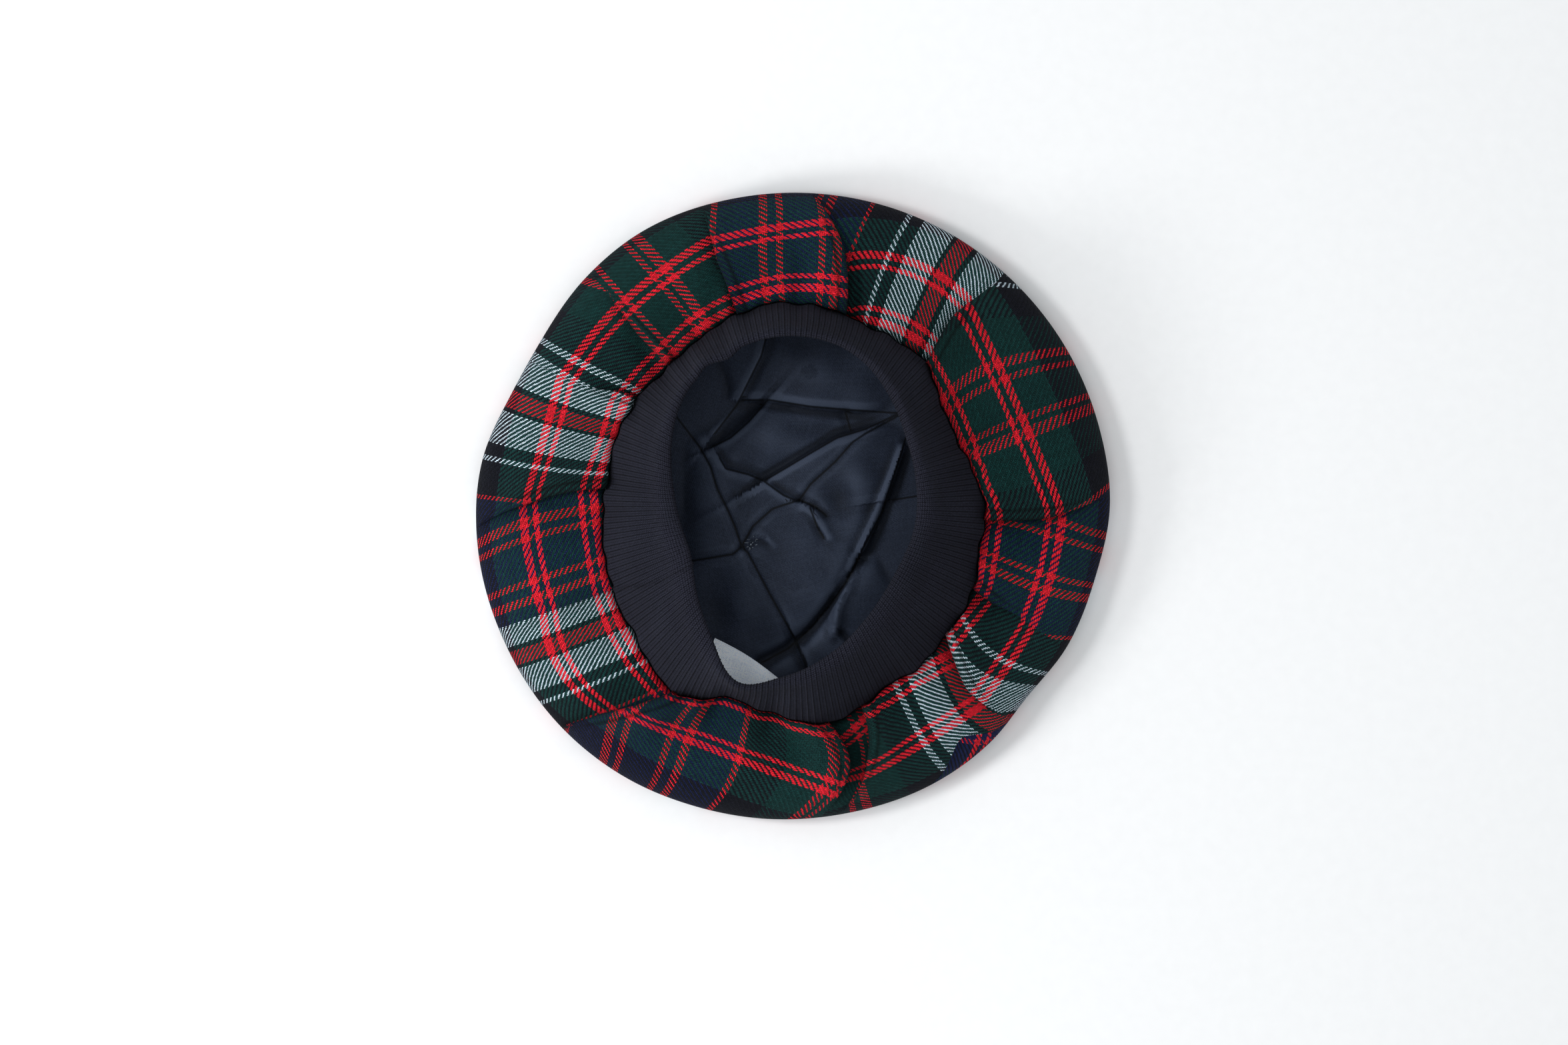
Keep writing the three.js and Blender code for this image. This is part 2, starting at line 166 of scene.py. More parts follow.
def cloth_shell(name, outer, wall, side, uv, uv_next, ring=True, pole=None):
    """A closed shell of cloth: the outer grid, and the same grid a wall further in.
    uv is a point's place in the weave for the face on its own column, uv_next for the column after."""
    rows, columns = outer.shape[:2]
    inner = outer - face_normals(outer, side, ring) * np.broadcast_to(wall, (rows, columns))[..., None]
    points = np.concatenate([outer.reshape(-1, 3), inner.reshape(-1, 3)])
    index = np.arange(rows * columns).reshape(rows, columns)
    here = np.arange(columns if ring else columns - 1)
    there = (here + 1) % columns
    faces = []
    places = []

    def face(*corners):
        """Faces from corners, each of them points and their places in the weave."""
        corners = corners[::side]
        faces.extend(np.stack([spot for spot, _ in corners], -1).reshape(-1, len(corners)).tolist())
        places.append(np.stack([place for _, place in corners], -2).reshape(-1, 2))

    def behind(*corners):
        return [(spot + rows * columns, place) for spot, place in corners]

    def edge(p, q):
        face(q, p, *behind(p, q))

    a, b = (index[:-1, here], uv[:-1, here]), (index[:-1, there], uv_next[:-1, here])
    c, d = (index[1:, there], uv_next[1:, here]), (index[1:, here], uv[1:, here])
    face(a, b, c, d)
    face(*behind(a, d, c, b))
    edge((index[0, here], uv[0, here]), (index[0, there], uv_next[0, here]))
    p, q = (index[-1, here], uv[-1, here]), (index[-1, there], uv_next[-1, here])
    if pole is None:
        edge(q, p)
    if not ring:
        edge((index[1:, 0], uv[1:, 0]), (index[:-1, 0], uv[:-1, 0]))
        edge((index[:-1, -1], uv_next[:-1, -2]), (index[1:, -1], uv_next[1:, -2]))
    if pole is not None:
        centre, centre_uv = pole
        normal = face_normals(outer, side, ring)[-1].mean(0)
        normal /= np.linalg.norm(normal)
        points = np.concatenate([points, [centre, centre - normal * float(np.min(wall))]])
        mid = np.full_like(p[0], len(points) - 2)
        mid_uv = np.broadcast_to(centre_uv, p[1].shape)
        face(p, q, (mid, mid_uv))
        face(*behind(q, p), (mid + 1, mid_uv))
    mesh = bpy.data.meshes.new(name)
    mesh.from_pydata(points.tolist(), [], faces)
    layer = mesh.uv_layers.new(name="UVMap")
    layer.data.foreach_set("uv", np.concatenate(places).astype(np.float32).ravel())
    mesh.shade_smooth()
    mesh.set_sharp_from_angle(angle=math.radians(66))
    mesh.validate()
    return placed(name, mesh)


class Value:
    """A number or a colour in a node tree. Sums written with it become Math nodes."""

    def __init__(self, socket):
        self.socket = socket
        self.tree = socket.id_data

    def by(self, operation, *others, turned=False):
        """The result of a Math node, with this as its first value, or its last one when turned."""
        values = (*others, self) if turned else (self, *others)
        return made(self.tree, "ShaderNodeMath", dict(enumerate(values)), operation=operation)

    def __add__(self, other):
        return self.by("ADD", other)

    def __sub__(self, other):
        return self.by("SUBTRACT", other)

    def __rsub__(self, other):
        return self.by("SUBTRACT", other, turned=True)

    def __mul__(self, other):
        return self.by("MULTIPLY", other)

    def __truediv__(self, other):
        return self.by("DIVIDE", other)

    def __mod__(self, other):
        return self.by("FLOORED_MODULO", other)

    def __pow__(self, other):
        return self.by("POWER", other)

    def ranged(self, low=0.0, high=1.0, first=0.0, last=1.0):
        """Stretched and clipped, so that low to high becomes first to last."""
        return made(self.tree, "ShaderNodeMapRange", {0: self, 1: low, 2: high, 3: first, 4: last})

    def between(self, first, second):
        """The mix of two numbers, with this as the second one's share."""
        return made(self.tree, "ShaderNodeMix", {0: self, 2: first, 3: second}, data_type="FLOAT")

    def blended(self, first, second):
        """The mix of two colours, with this as the second one's share."""
        return made(self.tree, "ShaderNodeMix", {0: self, 6: first, 7: second}, 2, data_type="RGBA")

    def toned(self, level):
        """This colour made darker or lighter by a level."""
        shade = made(self.tree, "ShaderNodeCombineColor", {0: level, 1: level, 2: level})
        layers = {0: 1.0, 6: self, 7: shade}
        return made(self.tree, "ShaderNodeMix", layers, 2, data_type="RGBA", blend_type="MULTIPLY")


def add(tree, kind, inputs=None, **settings):
    """A node in the tree, with its settings, and its inputs linked or filled in."""
    node = tree.nodes.new(kind)
    for name, value in settings.items():
        setattr(node, name, value)
    for key, value in (inputs or {}).items():
        if isinstance(value, Value):
            tree.links.new(value.socket, node.inputs[key])
        else:
            node.inputs[key].default_value = value
    return node


def made(tree, kind, inputs=None, output=0, **settings):
    """What a new node gives."""
    return Value(add(tree, kind, inputs, **settings).outputs[output])


def noise(tree, scale, detail, output=0):
    """Noise that is fixed to the piece."""
    place = made(tree, "ShaderNodeTexCoord", output="Object")
    return made(tree, "ShaderNodeTexNoise", {"Vector": place, "Scale": scale, "Detail": detail}, output)


def attribute(tree, name):
    return made(tree, "ShaderNodeAttribute", output="Fac", attribute_name=name)


def uv_parts(tree):
    """A point's place in the weave or the knit, as two numbers."""
    place = made(tree, "ShaderNodeUVMap", uv_map="UVMap")
    return [Value(socket) for socket in add(tree, "ShaderNodeSeparateXYZ", {0: place}).outputs[:2]]


def dye(red, green, blue):
    """A yarn's colour, given as it looks on a screen, for a node."""
    scaled = [c / 255 for c in (red, green, blue)]
    return (*[c / 12.92 if c < 0.04045 else ((c + 0.055) / 1.055) ** 2.4 for c in scaled], 1.0)


def node_group(name, kind, takes, gives):
    """An empty node group with named sockets, and the values that it takes."""
    tree = bpy.data.node_groups.new(name, kind)
    for way, sockets in (("INPUT", takes), ("OUTPUT", gives)):
        for label, what in sockets.items():
            tree.interface.new_socket(name=label, in_out=way, socket_type=f"NodeSocket{what}")
    return tree, [Value(socket) for socket in add(tree, "NodeGroupInput").outputs if socket.name]


def grouped(tree, group, inputs):
    """What a shader node group gives when placed in a tree."""
    return [Value(socket) for socket in add(tree, "ShaderNodeGroup", inputs, node_tree=group).outputs]


def finish_group(geometry, finish):
    """The end of a Geometry Nodes tree: what it made becomes real mesh with its material."""
    real = made(geometry.tree, "GeometryNodeRealizeInstances", {0: geometry})
    covered = made(geometry.tree, "GeometryNodeSetMaterial", {"Geometry": real, "Material": finish})
    add(geometry.tree, "NodeGroupOutput", {0: covered})


def baked(plain, tree, values, name):
    """The mesh that a Geometry Nodes tree makes from a plain one, as a piece of its own."""
    modifier = plain.modifiers.new(tree.name, "NODES")
    modifier.node_group = tree
    for socket in tree.interface.items_tree:
        if socket.in_out == "INPUT" and socket.name in values:
            modifier[socket.identifier] = values[socket.name]
    bpy.context.view_layer.update()
    ready = plain.evaluated_get(bpy.context.evaluated_depsgraph_get())
    mesh = bpy.data.meshes.new_from_object(ready)
    mesh.name = name
    plain.modifiers.remove(modifier)
    bpy.data.objects.remove(plain)
    return placed(name, mesh)


def new_material(name):
    material = bpy.data.materials.new(name)
    material.use_nodes = True
    return material, material.node_tree


def surface(tree, colour, rough, relief, bump, **plain):
    """Joins what varies over a surface to its shader, with the relief as a bump of the given
    strength and depth, and sets what is the same all over."""
    shader = tree.nodes["Principled BSDF"]
    strength, depth = bump
    raised = made(tree, "ShaderNodeBump", {"Strength": strength, "Distance": depth, "Height": relief})
    for name, value in (("Base Color", colour), ("Roughness", rough), ("Normal", raised)):
        tree.links.new(value.socket, shader.inputs[name])
    for name, value in plain.items():
        shader.inputs[PLAIN_SOCKETS[name]].default_value = value


PLAIN_SOCKETS = {
    "specular": "Specular IOR Level",
    "sheen": "Sheen Weight",
    "sheen_rough": "Sheen Roughness",
    "sheen_tint": "Sheen Tint",
}
YARNS = {
    "R": dye(236, 34, 50),
    "K": dye(16, 18, 27),
    "W": dye(224, 243, 255),
    "G": dye(14, 52, 50),
    "B": dye(21, 31, 72),
}
SETT = [
    ("R", 12), ("K", 4), ("W", 24), ("K", 8), ("W", 4), ("K", 24), ("G", 24), ("R", 6),
    ("G", 4), ("R", 4), ("G", 20), ("R", 4), ("G", 4), ("R", 6), ("G", 24), ("K", 24),
    ("R", 4), ("B", 24), ("R", 6), ("B", 4), ("R", 4), ("B", 20), ("R", 4), ("B", 4),
    ("R", 6), ("B", 24), ("R", 4), ("K", 24), ("W", 4), ("K", 8), ("W", 24), ("K", 4),
]


def yarn_ramp(position, order):
    """The colour of a thread by its number's share of the whole order."""
    total = sum(count for _, count in order)
    ramp = add(position.tree, "ShaderNodeValToRGB", {0: position})
    stops = ramp.color_ramp
    stops.interpolation = "CONSTANT"
    reached = 0
    for k, (yarn, count) in enumerate(order):
        stop = stops.elements[k] if k < 2 else stops.elements.new(0.999)
        stop.position = reached / total
        stop.color = YARNS[yarn]
        reached += count
    return Value(ramp.outputs[0])


sett_group, (thread,) = node_group(
    "Sett colours", "ShaderNodeTree", {"Thread": "Float"}, {"Yarn": "Color"},
)
repeat = sum(count for _, count in SETT)
share = (thread.by("FLOOR") + 0.5) % repeat / repeat
add(sett_group, "NodeGroupOutput", {0: yarn_ramp(share, SETT)})


def float_round(along, across):
    """The rounded top of one thread's float, from 0 at its edges to 1 in its middle."""
    long_way = along * (1.0 - along) * 4.0
    off = across * 2.0 - 1.0
    short_way = 1.0 - off * off
    return long_way.by("MAXIMUM", 0.0) ** 0.35 * short_way.by("MAXIMUM", 0.0) ** 0.6


# Two threads over, two under, each row one thread on: the twill's diagonal. Every thread, and
# every float of it, has its own tone, and the weft's floats spread a little over the warp's.
OVER = 2.0
OVER_AND_UNDER = 4.0
WEFT_SPREAD = 0.36
twill_group, (warp_place, weft_place, warp_yarn, weft_yarn, gap_shade_depth, spread) = node_group(
    "Twill weave", "ShaderNodeTree",
    {
        "Warp place": "Float", "Weft place": "Float", "Warp yarn": "Color", "Weft yarn": "Color",
        "Gap shade depth": "Float", "Weft spread": "Float",
    },
    {"Cloth": "Color", "Height": "Float"},
)
warp_number = warp_place.by("FLOOR")
weft_number = weft_place.by("FLOOR")
started = warp_place + weft_number + spread
weft_along = started % OVER_AND_UNDER
weft_length = spread * 2.0 + OVER
warp_along = (weft_place + warp_number) % OVER_AND_UNDER
weft_up = weft_along.by("LESS_THAN", weft_length)
weft_round = float_round(weft_along / weft_length, weft_place.by("FRACT"))
warp_round = float_round((warp_along - OVER) * 0.5, warp_place.by("FRACT"))
height = weft_up.between(warp_round, weft_round)
thread_tone = weft_up.between(*[
    made(twill_group, "ShaderNodeTexWhiteNoise", {"W": number}, "Value", noise_dimensions="1D")
    for number in (warp_number, weft_number)
])
float_number = (started / OVER_AND_UNDER).by("FLOOR")
one_float = made(twill_group, "ShaderNodeCombineXYZ", {0: warp_number, 1: weft_number, 2: float_number})
float_tone = made(twill_group, "ShaderNodeTexWhiteNoise", {0: one_float}, "Value", noise_dimensions="3D")
tone_and_shade = thread_tone.ranged(first=0.88, last=1.24) * float_tone.ranged(first=0.72, last=1.22)
# Painted shade: the warp's floats are made a little darker than the weft's.
tone_and_shade = tone_and_shade * weft_up.ranged(first=0.92)
# Painted shade in the gaps where threads dip under, by the gap's depth, and a painted highlight on the
# threads' tops.
gap = height.ranged(0.25, 0.9, 1.0 - gap_shade_depth, 1.15)
cloth = weft_up.blended(warp_yarn, weft_yarn).toned(tone_and_shade * gap)
add(twill_group, "NodeGroupOutput", {"Cloth": cloth, "Height": height})


def woven(tree, warp, weft, warp_yarn, weft_yarn, gap_shade_depth):
    """The twill's colour and height, with painted shade of the given depth in the gaps between its
    threads.
    """
    return grouped(tree, twill_group, {
        "Warp place": warp, "Weft place": weft, "Warp yarn": warp_yarn, "Weft yarn": weft_yarn,
        "Gap shade depth": gap_shade_depth, "Weft spread": WEFT_SPREAD,
    })


# A brushed nap: paler fibres that lie in drifts over the weave, and slow changes of tone.
nap_group, (colour, nap, amount, fibre_scale) = node_group(
    "Wool nap", "ShaderNodeTree",
    {"Colour": "Color", "Nap": "Color", "Amount": "Float", "Fibre scale": "Float"},
    {"Colour": "Color", "Height": "Float"},
)
fibres = noise(nap_group, fibre_scale, 4.0)
drifts = noise(nap_group, 38.0, 3.0)
cover = fibres.ranged(0.42, 0.72) * drifts.ranged(0.3, 0.7, 0.5) * amount
brushed = cover.blended(colour, nap).toned(drifts.ranged(0.3, 0.7, 0.92, 1.08))
add(nap_group, "NodeGroupOutput", {"Colour": brushed, "Height": fibres})


def napped(tree, colour, nap, amount, scale):
    """The colour under its nap, and the height of the nap's fibres."""
    inputs = {"Colour": colour, "Nap": nap, "Amount": amount, "Fibre scale": scale}
    return grouped(tree, nap_group, inputs)


def tartan_cloth(name, weft_order=None, start=(0.0, 0.0)):
    """Wool tartan. weft_order is the order of the threads across, or None for the full sett."""
    material, tree = new_material(name)
    # The threads sway a little to and fro, by up to this many of them.
    sway = 1.3
    sways = add(tree, "ShaderNodeSeparateColor", {0: noise(tree, 420.0, 3.0, "Color")}).outputs
    warp, weft = [
        part + first + (Value(moved) - 0.5) * sway
        for part, first, moved in zip(uv_parts(tree), start, sways)
    ]
    warp_yarn = grouped(tree, sett_group, {"Thread": warp})[0]
    if weft_order is None:
        weft_yarn = grouped(tree, sett_group, {"Thread": weft})[0]
    else:
        total = sum(count for _, count in weft_order)
        number = (weft.by("FLOOR") + 0.5).by("MAXIMUM", 0.5).by("MINIMUM", total - 0.5)
        weft_yarn = yarn_ramp(number / total, weft_order)
    cloth, height = woven(tree, warp, weft, warp_yarn, weft_yarn, 0.9)
    colour, fibres = napped(tree, cloth, dye(70, 70, 78), 0.1, 1500.0)
    # Painted shade: near-black shade is painted along each fold, where a pleat is pressed under, by a
    # point attribute that the crown does not have.
    painted_crease_shade = attribute(tree, "crease_shade") * 0.7
    surface(
        tree, painted_crease_shade.blended(colour, dye(3, 5, 6)), height.ranged(first=0.96, last=0.78),
        height + fibres * 0.5, (0.9, 0.0005), specular=0.06, sheen=0.01, sheen_rough=0.6,
    )
    return material


def disc_place(grid, degs, first):
    """A point's place in a round of cloth, by its way along the cloth from the middle."""
    reach = steps_along(grid[::-1], 0)[::-1] + first
    angle = np.radians(degs)
    return np.stack([reach * np.cos(angle), reach * np.sin(angle)], -1)


crown_degs = np.arange(600) * 0.6
rim = RIM_RADIUS * rim_share(crown_degs)
rows = []
for down in np.linspace(0, 1, 22):
    edge = seam_turn(crown_degs) - math.degrees(SEAM_HALF / RIM_HEIGHT)
    turn = mix(edge, -90, down)
    angle = np.radians(turn)
    below = rim - RIM_ROUND * (1 - np.cos(angle)), RIM_HEIGHT * (1 + np.sin(angle))
    # Above the widest line the rolled seam follows the strip's own section.
    inward = (rim - BAND_RADIUS - EDGE_ROLL) * (1 - np.cos(angle))
    above = rim - inward, mix(RIM_HEIGHT, BAND_HEIGHT, np.sin(angle))
    radius = np.where(turn <= 0, below[0], above[0])
    rows.append(polar(crown_degs, radius, np.where(turn <= 0, below[1], above[1])))
flat_radius = rim - RIM_ROUND
for share in np.linspace(1, 0.02, 34)[1:]:
    waves = 1 + swell(crown_degs, (2, 3, 5), (20, 80, 150))
    lift = CROWN_SLACK * waves * math.sin(math.pi * share) ** 2
    rows.append(polar(crown_degs, flat_radius * share, lift))
crown_grid = tucked(np.array(rows), -1)
place = disc_place(crown_grid, crown_degs, flat_radius * 0.02) / THREAD
crown = cloth_shell(
    "crown_cloth", crown_grid, CLOTH_WALL, -1, place, np.roll(place, -1, 1), pole=((0, 0, 0), (0, 0)),
)
crown.data.materials.append(tartan_cloth("Tartan, full sett", start=(60.0, 40.0)))
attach(crown, "root")
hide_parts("crown")

# The underside: a strip of the same tartan between the rim seam and the headband.
# It is pleated by hand into thirteen folds, which lie one way or the other and die out at the rim.
FOLD_STEP = 0.0080      # height of the deepest fold
FOLD_SPREAD = 0.017     # the cloth settles this far to each side of a fold
FOLD_HALF = 0.0013      # half the plan width of a fold's edge
FOLD_TUCK = 0.0040      # how far a fold's edge lies over the cloth beneath
FOLD_UNDER = -0.6       # how far the cloth beneath drops, as a share of the fold's height
FOLD_WALL = 0.0007      # the cloth is pressed thinner in a fold
FOLD_STEPS = 13
PANEL_STEP = 0.0016     # from one column of the mesh to the next
# The next three set the painted shade along each fold's crease, not the fold's shape.
DEEP_CREASE_SHADE = 0.0035    # a fold of this height has a fully dark crease
CREASE_SHADE_FADE = 0.0030    # how far the dark reaches over the cloth beneath the fold
EDGE_SHADE_FADE = 0.0006      # and over the fold's own top
RISE_TURN = 22          # degrees of the section over which the folds rise from the rim seam
INNER_LINE = 0.0117     # the inner wide red line's distance from the strip's inner edge
OUTER_LINE = 0.0462     # and the outer one's
STRIP_HEM = (0.0015, 0.0035)    # how far the hem hangs down behind the strip's inner edge
GATHERS = ((31, 47, 22), (0, 70, 160))
JOIN_SHARES = [
    0.983, 0.92, 0.909, 1.0, 0.994, 1.034, 1.034, 0.983, 0.955, 0.966, 0.966, 0.955,
    0.977, 1.011, 1.051, 1.125, 1.03, 1.07, 1.12, 1.04, 1.04, 1.02, 1.02, 0.977,
]
# For each fold: its angle at the band, the middle and the rim, which side lies over (1 for the
# counterclockwise one), its height as a share of FOLD_STEP, how far out it reaches, its thread
# at the rim and at the band on each side. Then, for the panel after it, where the two wide red
# lines lie at its start, middle and end, in mm from the hat's middle.
FOLDS = [
    (-2, -1, 2, 1, 0.9, 1.1, 931, 931, 910, 962, (119.5, 110, 119), (87, 81, 86)),
    (45, 48.5, 47, -1, 0.9, 0.9, 770, 770, 755, 813, (121.5, 121.5, 113), (93.5, 92, 87)),
    (76.5, 80, 86.5, 1, 1.0, 1.2, 620, 620, 637, 669, (128.5, 125, 124.5), (98, 98, 95.5)),
    (104, 105.5, 107, -1, 0.8, 1.2, 555, 555, 537, 577, (125.5, 121, 119), (92.5, 90, 86.5)),
    (129.5, 130.5, 131, -1, 0.7, 1.0, 473, 473, 446, 474, (119, 118, 118.5), (86.5, 87, 87)),
    (147, 150, 151, 1, 0.6, 0.5, 399, 399, 400, 407, (119, 115.5, 119), (88.5, 86, 88)),
    (172.5, 177, 184, -1, 0.9, 1.2, 278, 278, 285, 320, (121, 120.5, 121.5), (90, 88, 91)),
    (204.5, 203.5, 202.5, -1, 0.12, 1.2, 1489, 219.5, 1489, 219.5, (122, 127.5, 125), (91, 95, 101)),
    (239, 231, 223.5, 1, 1.0, 1.3, 1394, 1394, 1340, 1380, (119, 115, 131), (84, 81, 95)),
    (277.5, 281, 275, -1, 0.9, 1.1, 1222, 1222, 1223, 1238, (124.5, 124.5, 124.5), (108, 104, 99)),
    (291, 288, 278, 1, 0.9, 1.1, 1214, 1214, 1164, 1190, (125, 121, 123), (93, 92.5, 98)),
    (322, 315, 316, 1, 0.9, 1.0, 1094, 1094, 1065, 1089, (121.5, 120, 120), (90.5, 91.5, 94)),
    (337.5, 334, 333, 1, 0.6, 0.6, 1031, 1031, 1011, 1030, (120, 120, 121), (90, 87.5, 88)),
]
STRIP_ORDER = [
    ("G", 14), ("R", 6), ("G", 4), ("R", 4), ("G", 28), ("R", 4),
    ("G", 4), ("R", 6), ("G", 24), ("K", 40),
]
# The strip's unevenness. Waves: height, lean (degrees round on the whole way out), counts, turns
# and how far out they reach. Bulges: height, lean, middle, half width, and reach. Dents: height,
# middle, half width, and their middle and half width on the way out, from 0 to 100.
STRIP_WAVES = [
    (0.0005, 0, (61, 83), (0, 70), 0.16),
    (0.0022, 4, *GATHERS, 0.5),
    (0.0012, -6, (17, 26), (40, 190), 0.95),
]
STRIP_BULGES = [(0.0022, 0, 149, 4, 0.22), (0.0030, 0, 250, 14, 0.5), (-0.003, -3, 283, 9, 0.95)]
STRIP_DENTS = [(-0.0022, 260, 4, 8, 22), (-0.0014, 249, 3.5, 14, 20)]
FOLD_PARTS = (
    "join", "middle", "rim", "over", "step", "reach",
    "rim_ccw", "rim_cw", "join_ccw", "join_cw", "outer_line", "inner_line",
)
join_share = round_the_hat(JOIN_SHARES)


def join_radius(deg):
    """Where the strip's edge meets the band, with the small scallops of its gathers."""
    return BAND_RADIUS * join_share(deg) + 0.0010 * swell(deg, *GATHERS)


def tartan_section(deg, turn):
    """Radius and height of the strip: turn 0 at the widest line, 90 on top, 180 at the band."""
    rim = RIM_RADIUS * rim_share(deg)
    top = join_radius(deg) + EDGE_ROLL
    angle = np.radians(np.clip(turn, 0, 90))
    rolled = np.radians(np.clip(turn - 90, 0, 90))
    radius = top + (rim - top) * np.cos(angle) - EDGE_ROLL * np.sin(rolled)
    height = mix(RIM_HEIGHT, BAND_HEIGHT, np.sin(angle)) - EDGE_ROLL * (1 - np.cos(rolled))
    return radius, height


def share_out(about, turn):
    """How far out a point lies, from 0 at the band to 1 at the rim."""
    radius, _ = tartan_section(about, turn)
    join = join_radius(about)
    return np.clip((radius - join) / (RIM_RADIUS * rim_share(about) - join), 0, 1)


def fold_angle(fold, out):
    bend = fold["middle"] - (fold["join"] + fold["rim"]) / 2
    return mix(fold["join"], fold["rim"], out) + 4 * bend * out * (1 - out)


def fold_height(fold, out):
    return FOLD_STEP * fold["step"] * smooth(1 - out / fold["reach"])


def cloth_drift(deg, out):
    """The strip's own unevenness: slack between the folds, ripples by the seam, puckers at the band."""
    height = 0.0008 * swell(deg, (5, 7, 11), (10, 130, 250)) * smooth(out * 4) * smooth((1 - out) * 5)
    for rise, lean, counts, turns, reach in STRIP_WAVES:
        height = height + rise * swell(deg + lean * out, counts, turns) * smooth(1 - out / reach)
    for rise, lean, middle, half, reach in STRIP_BULGES:
        height = height + rise * window(deg + lean * out, middle, half) * smooth(1 - out / reach)
    for rise, middle, half, way, way_half in STRIP_DENTS:
        height = height + rise * window(deg, middle, half) * window(out * 100, way, way_half)
    # Fine ripples where the strip is gathered most, at the lower left.
    ripple = np.sin(np.radians((deg + 9 * out - 214) * 40))
    return height + 0.0013 * ripple * window(deg + 6 * out, 219, 12) * smooth(1 - out / 0.75)


def fold_columns(fold):
    """The share of the way over a fold's edge at each of its columns, counterclockwise."""
    ways = np.linspace(0, 1, FOLD_STEPS + 2)[1:-1]
    return ways[::-1] if fold["over"] > 0 else ways


folds = [dict(zip(FOLD_PARTS, row)) for row in FOLDS]
turned_on = folds[0] | {key: folds[0][key] + 360 for key in ("join", "middle", "rim")}
columns = []
for start, end in zip(folds, [*folds[1:], turned_on]):
    arc = math.radians(end["middle"] - start["middle"]) * RIM_RADIUS
    count = max(6, round(arc / PANEL_STEP))
    columns += [("panel", start, end, c / count) for c in range(count + 1)]
    columns += [("fold", start, end, way) for way in fold_columns(end)]

strip_turns = np.concatenate([np.linspace(0, 90, 37), np.linspace(90, 180, 9)[1:]])
strip_size = len(strip_turns), len(columns)
strip_points = np.zeros((*strip_size, 3))
out_shares = np.zeros(strip_size)
# How much painted shade each point takes, darkest in the folds' creases.
crease_shades = np.zeros(strip_size)
for c, (kind, start, end, share) in enumerate(columns):
    in_panel = kind == "panel"
    about = mix(start["middle"], end["middle"], share) if in_panel else end["middle"]
    seam = seam_turn(mix(start["rim"], end["rim"], share) if in_panel else end["rim"])
    lifted = seam + math.degrees(SEAM_HALF / (BAND_HEIGHT - RIM_HEIGHT))
    turns = np.where(strip_turns < 90, mix(lifted, 90, strip_turns / 90), strip_turns)
    out = share_out(about, turns)
    radius = mix(BAND_RADIUS, RIM_RADIUS, out)
    half = np.degrees(FOLD_HALF / radius)
    free = smooth((turns - seam) / RISE_TURN)
    if in_panel:
        first = fold_angle(start, out) + half
        last = fold_angle(end, out) - half
        deg = mix(first, last, share)
        lift = np.zeros_like(out)
        for fold, gap, side in ((start, deg - first, 1), (end, last - deg, -1)):
            on_top = side == fold["over"]
            gap = np.radians(gap) * radius
            high = fold_height(fold, out)
            lift += (1 if on_top else FOLD_UNDER) * high * smooth(1 - gap / FOLD_SPREAD)
            # Painted shade beside the fold: it fades fast over the fold's own top and slower over the
            # cloth beneath.
            fade = EDGE_SHADE_FADE if on_top else CREASE_SHADE_FADE
            crease_shades[:, c] += np.minimum(1, high / DEEP_CREASE_SHADE) * np.exp(-np.maximum(gap, 0) / fade)
    else:
        high = fold_height(end, out)
        tuck = FOLD_TUCK * np.minimum(1, high * free / 0.004)
        away = FOLD_HALF * (1 - 2 * share) - tuck * math.sin(2 * math.pi * share)
        deg = fold_angle(end, out) + np.degrees(end["over"] * away / radius)
        lift = mix(1, FOLD_UNDER, smooth(share)) * high
        # Painted shade over the fold's edge, full where the cloth turns under.
        crease_shades[:, c] = np.minimum(1, high / DEEP_CREASE_SHADE) * smooth(share / 0.3)
    flat, height = tartan_section(deg, turns)
    strip_points[:, c] = polar(deg, flat, height + (lift + cloth_drift(deg, out)) * free)
    out_shares[:, c] = out

# Where each point lies in the cloth, in threads round the strip. Over a fold's edge the count
# runs on from the top side as far as the crease, and beyond it from the cloth beneath.
over_thread = np.zeros(strip_size)
under_thread = np.zeros(strip_size)
uses_over = np.ones(len(columns), bool)
around = steps_along(np.concatenate([strip_points, strip_points[:, :1]], axis=1), 1)
for c, (kind, start, end, share) in enumerate(columns):
    out = out_shares[:, c] ** 1.8
    first = mix(start["join_ccw"], start["rim_ccw"], out)
    last = mix(end["join_cw"], end["rim_cw"], out)
    if kind == "panel":
        over_thread[:, c] = under_thread[:, c] = mix(first, last, share)
        continue
    cw_edge = c - fold_columns(end).tolist().index(share) - 1
    ccw_edge = cw_edge + 1 + FOLD_STEPS
    after = mix(end["join_ccw"], end["rim_ccw"], out)
    from_cw = last - (around[:, c] - around[:, cw_edge]) / THREAD
    from_ccw = after + (around[:, ccw_edge] - around[:, c]) / THREAD
    sides = (from_ccw, from_cw) if end["over"] > 0 else (from_cw, from_ccw)
    over_thread[:, c], under_thread[:, c] = sides
for c, (kind, start, end, share) in enumerate(columns):
    kind_next, _, _, share_next = columns[(c + 1) % len(columns)]
    if kind == "fold" or kind_next == "fold":
        here = share if kind == "fold" else float(end["over"] > 0)
        there = share_next if kind_next == "fold" else float(end["over"] <= 0)
        uses_over[c] = (here + there) / 2 < 0.55

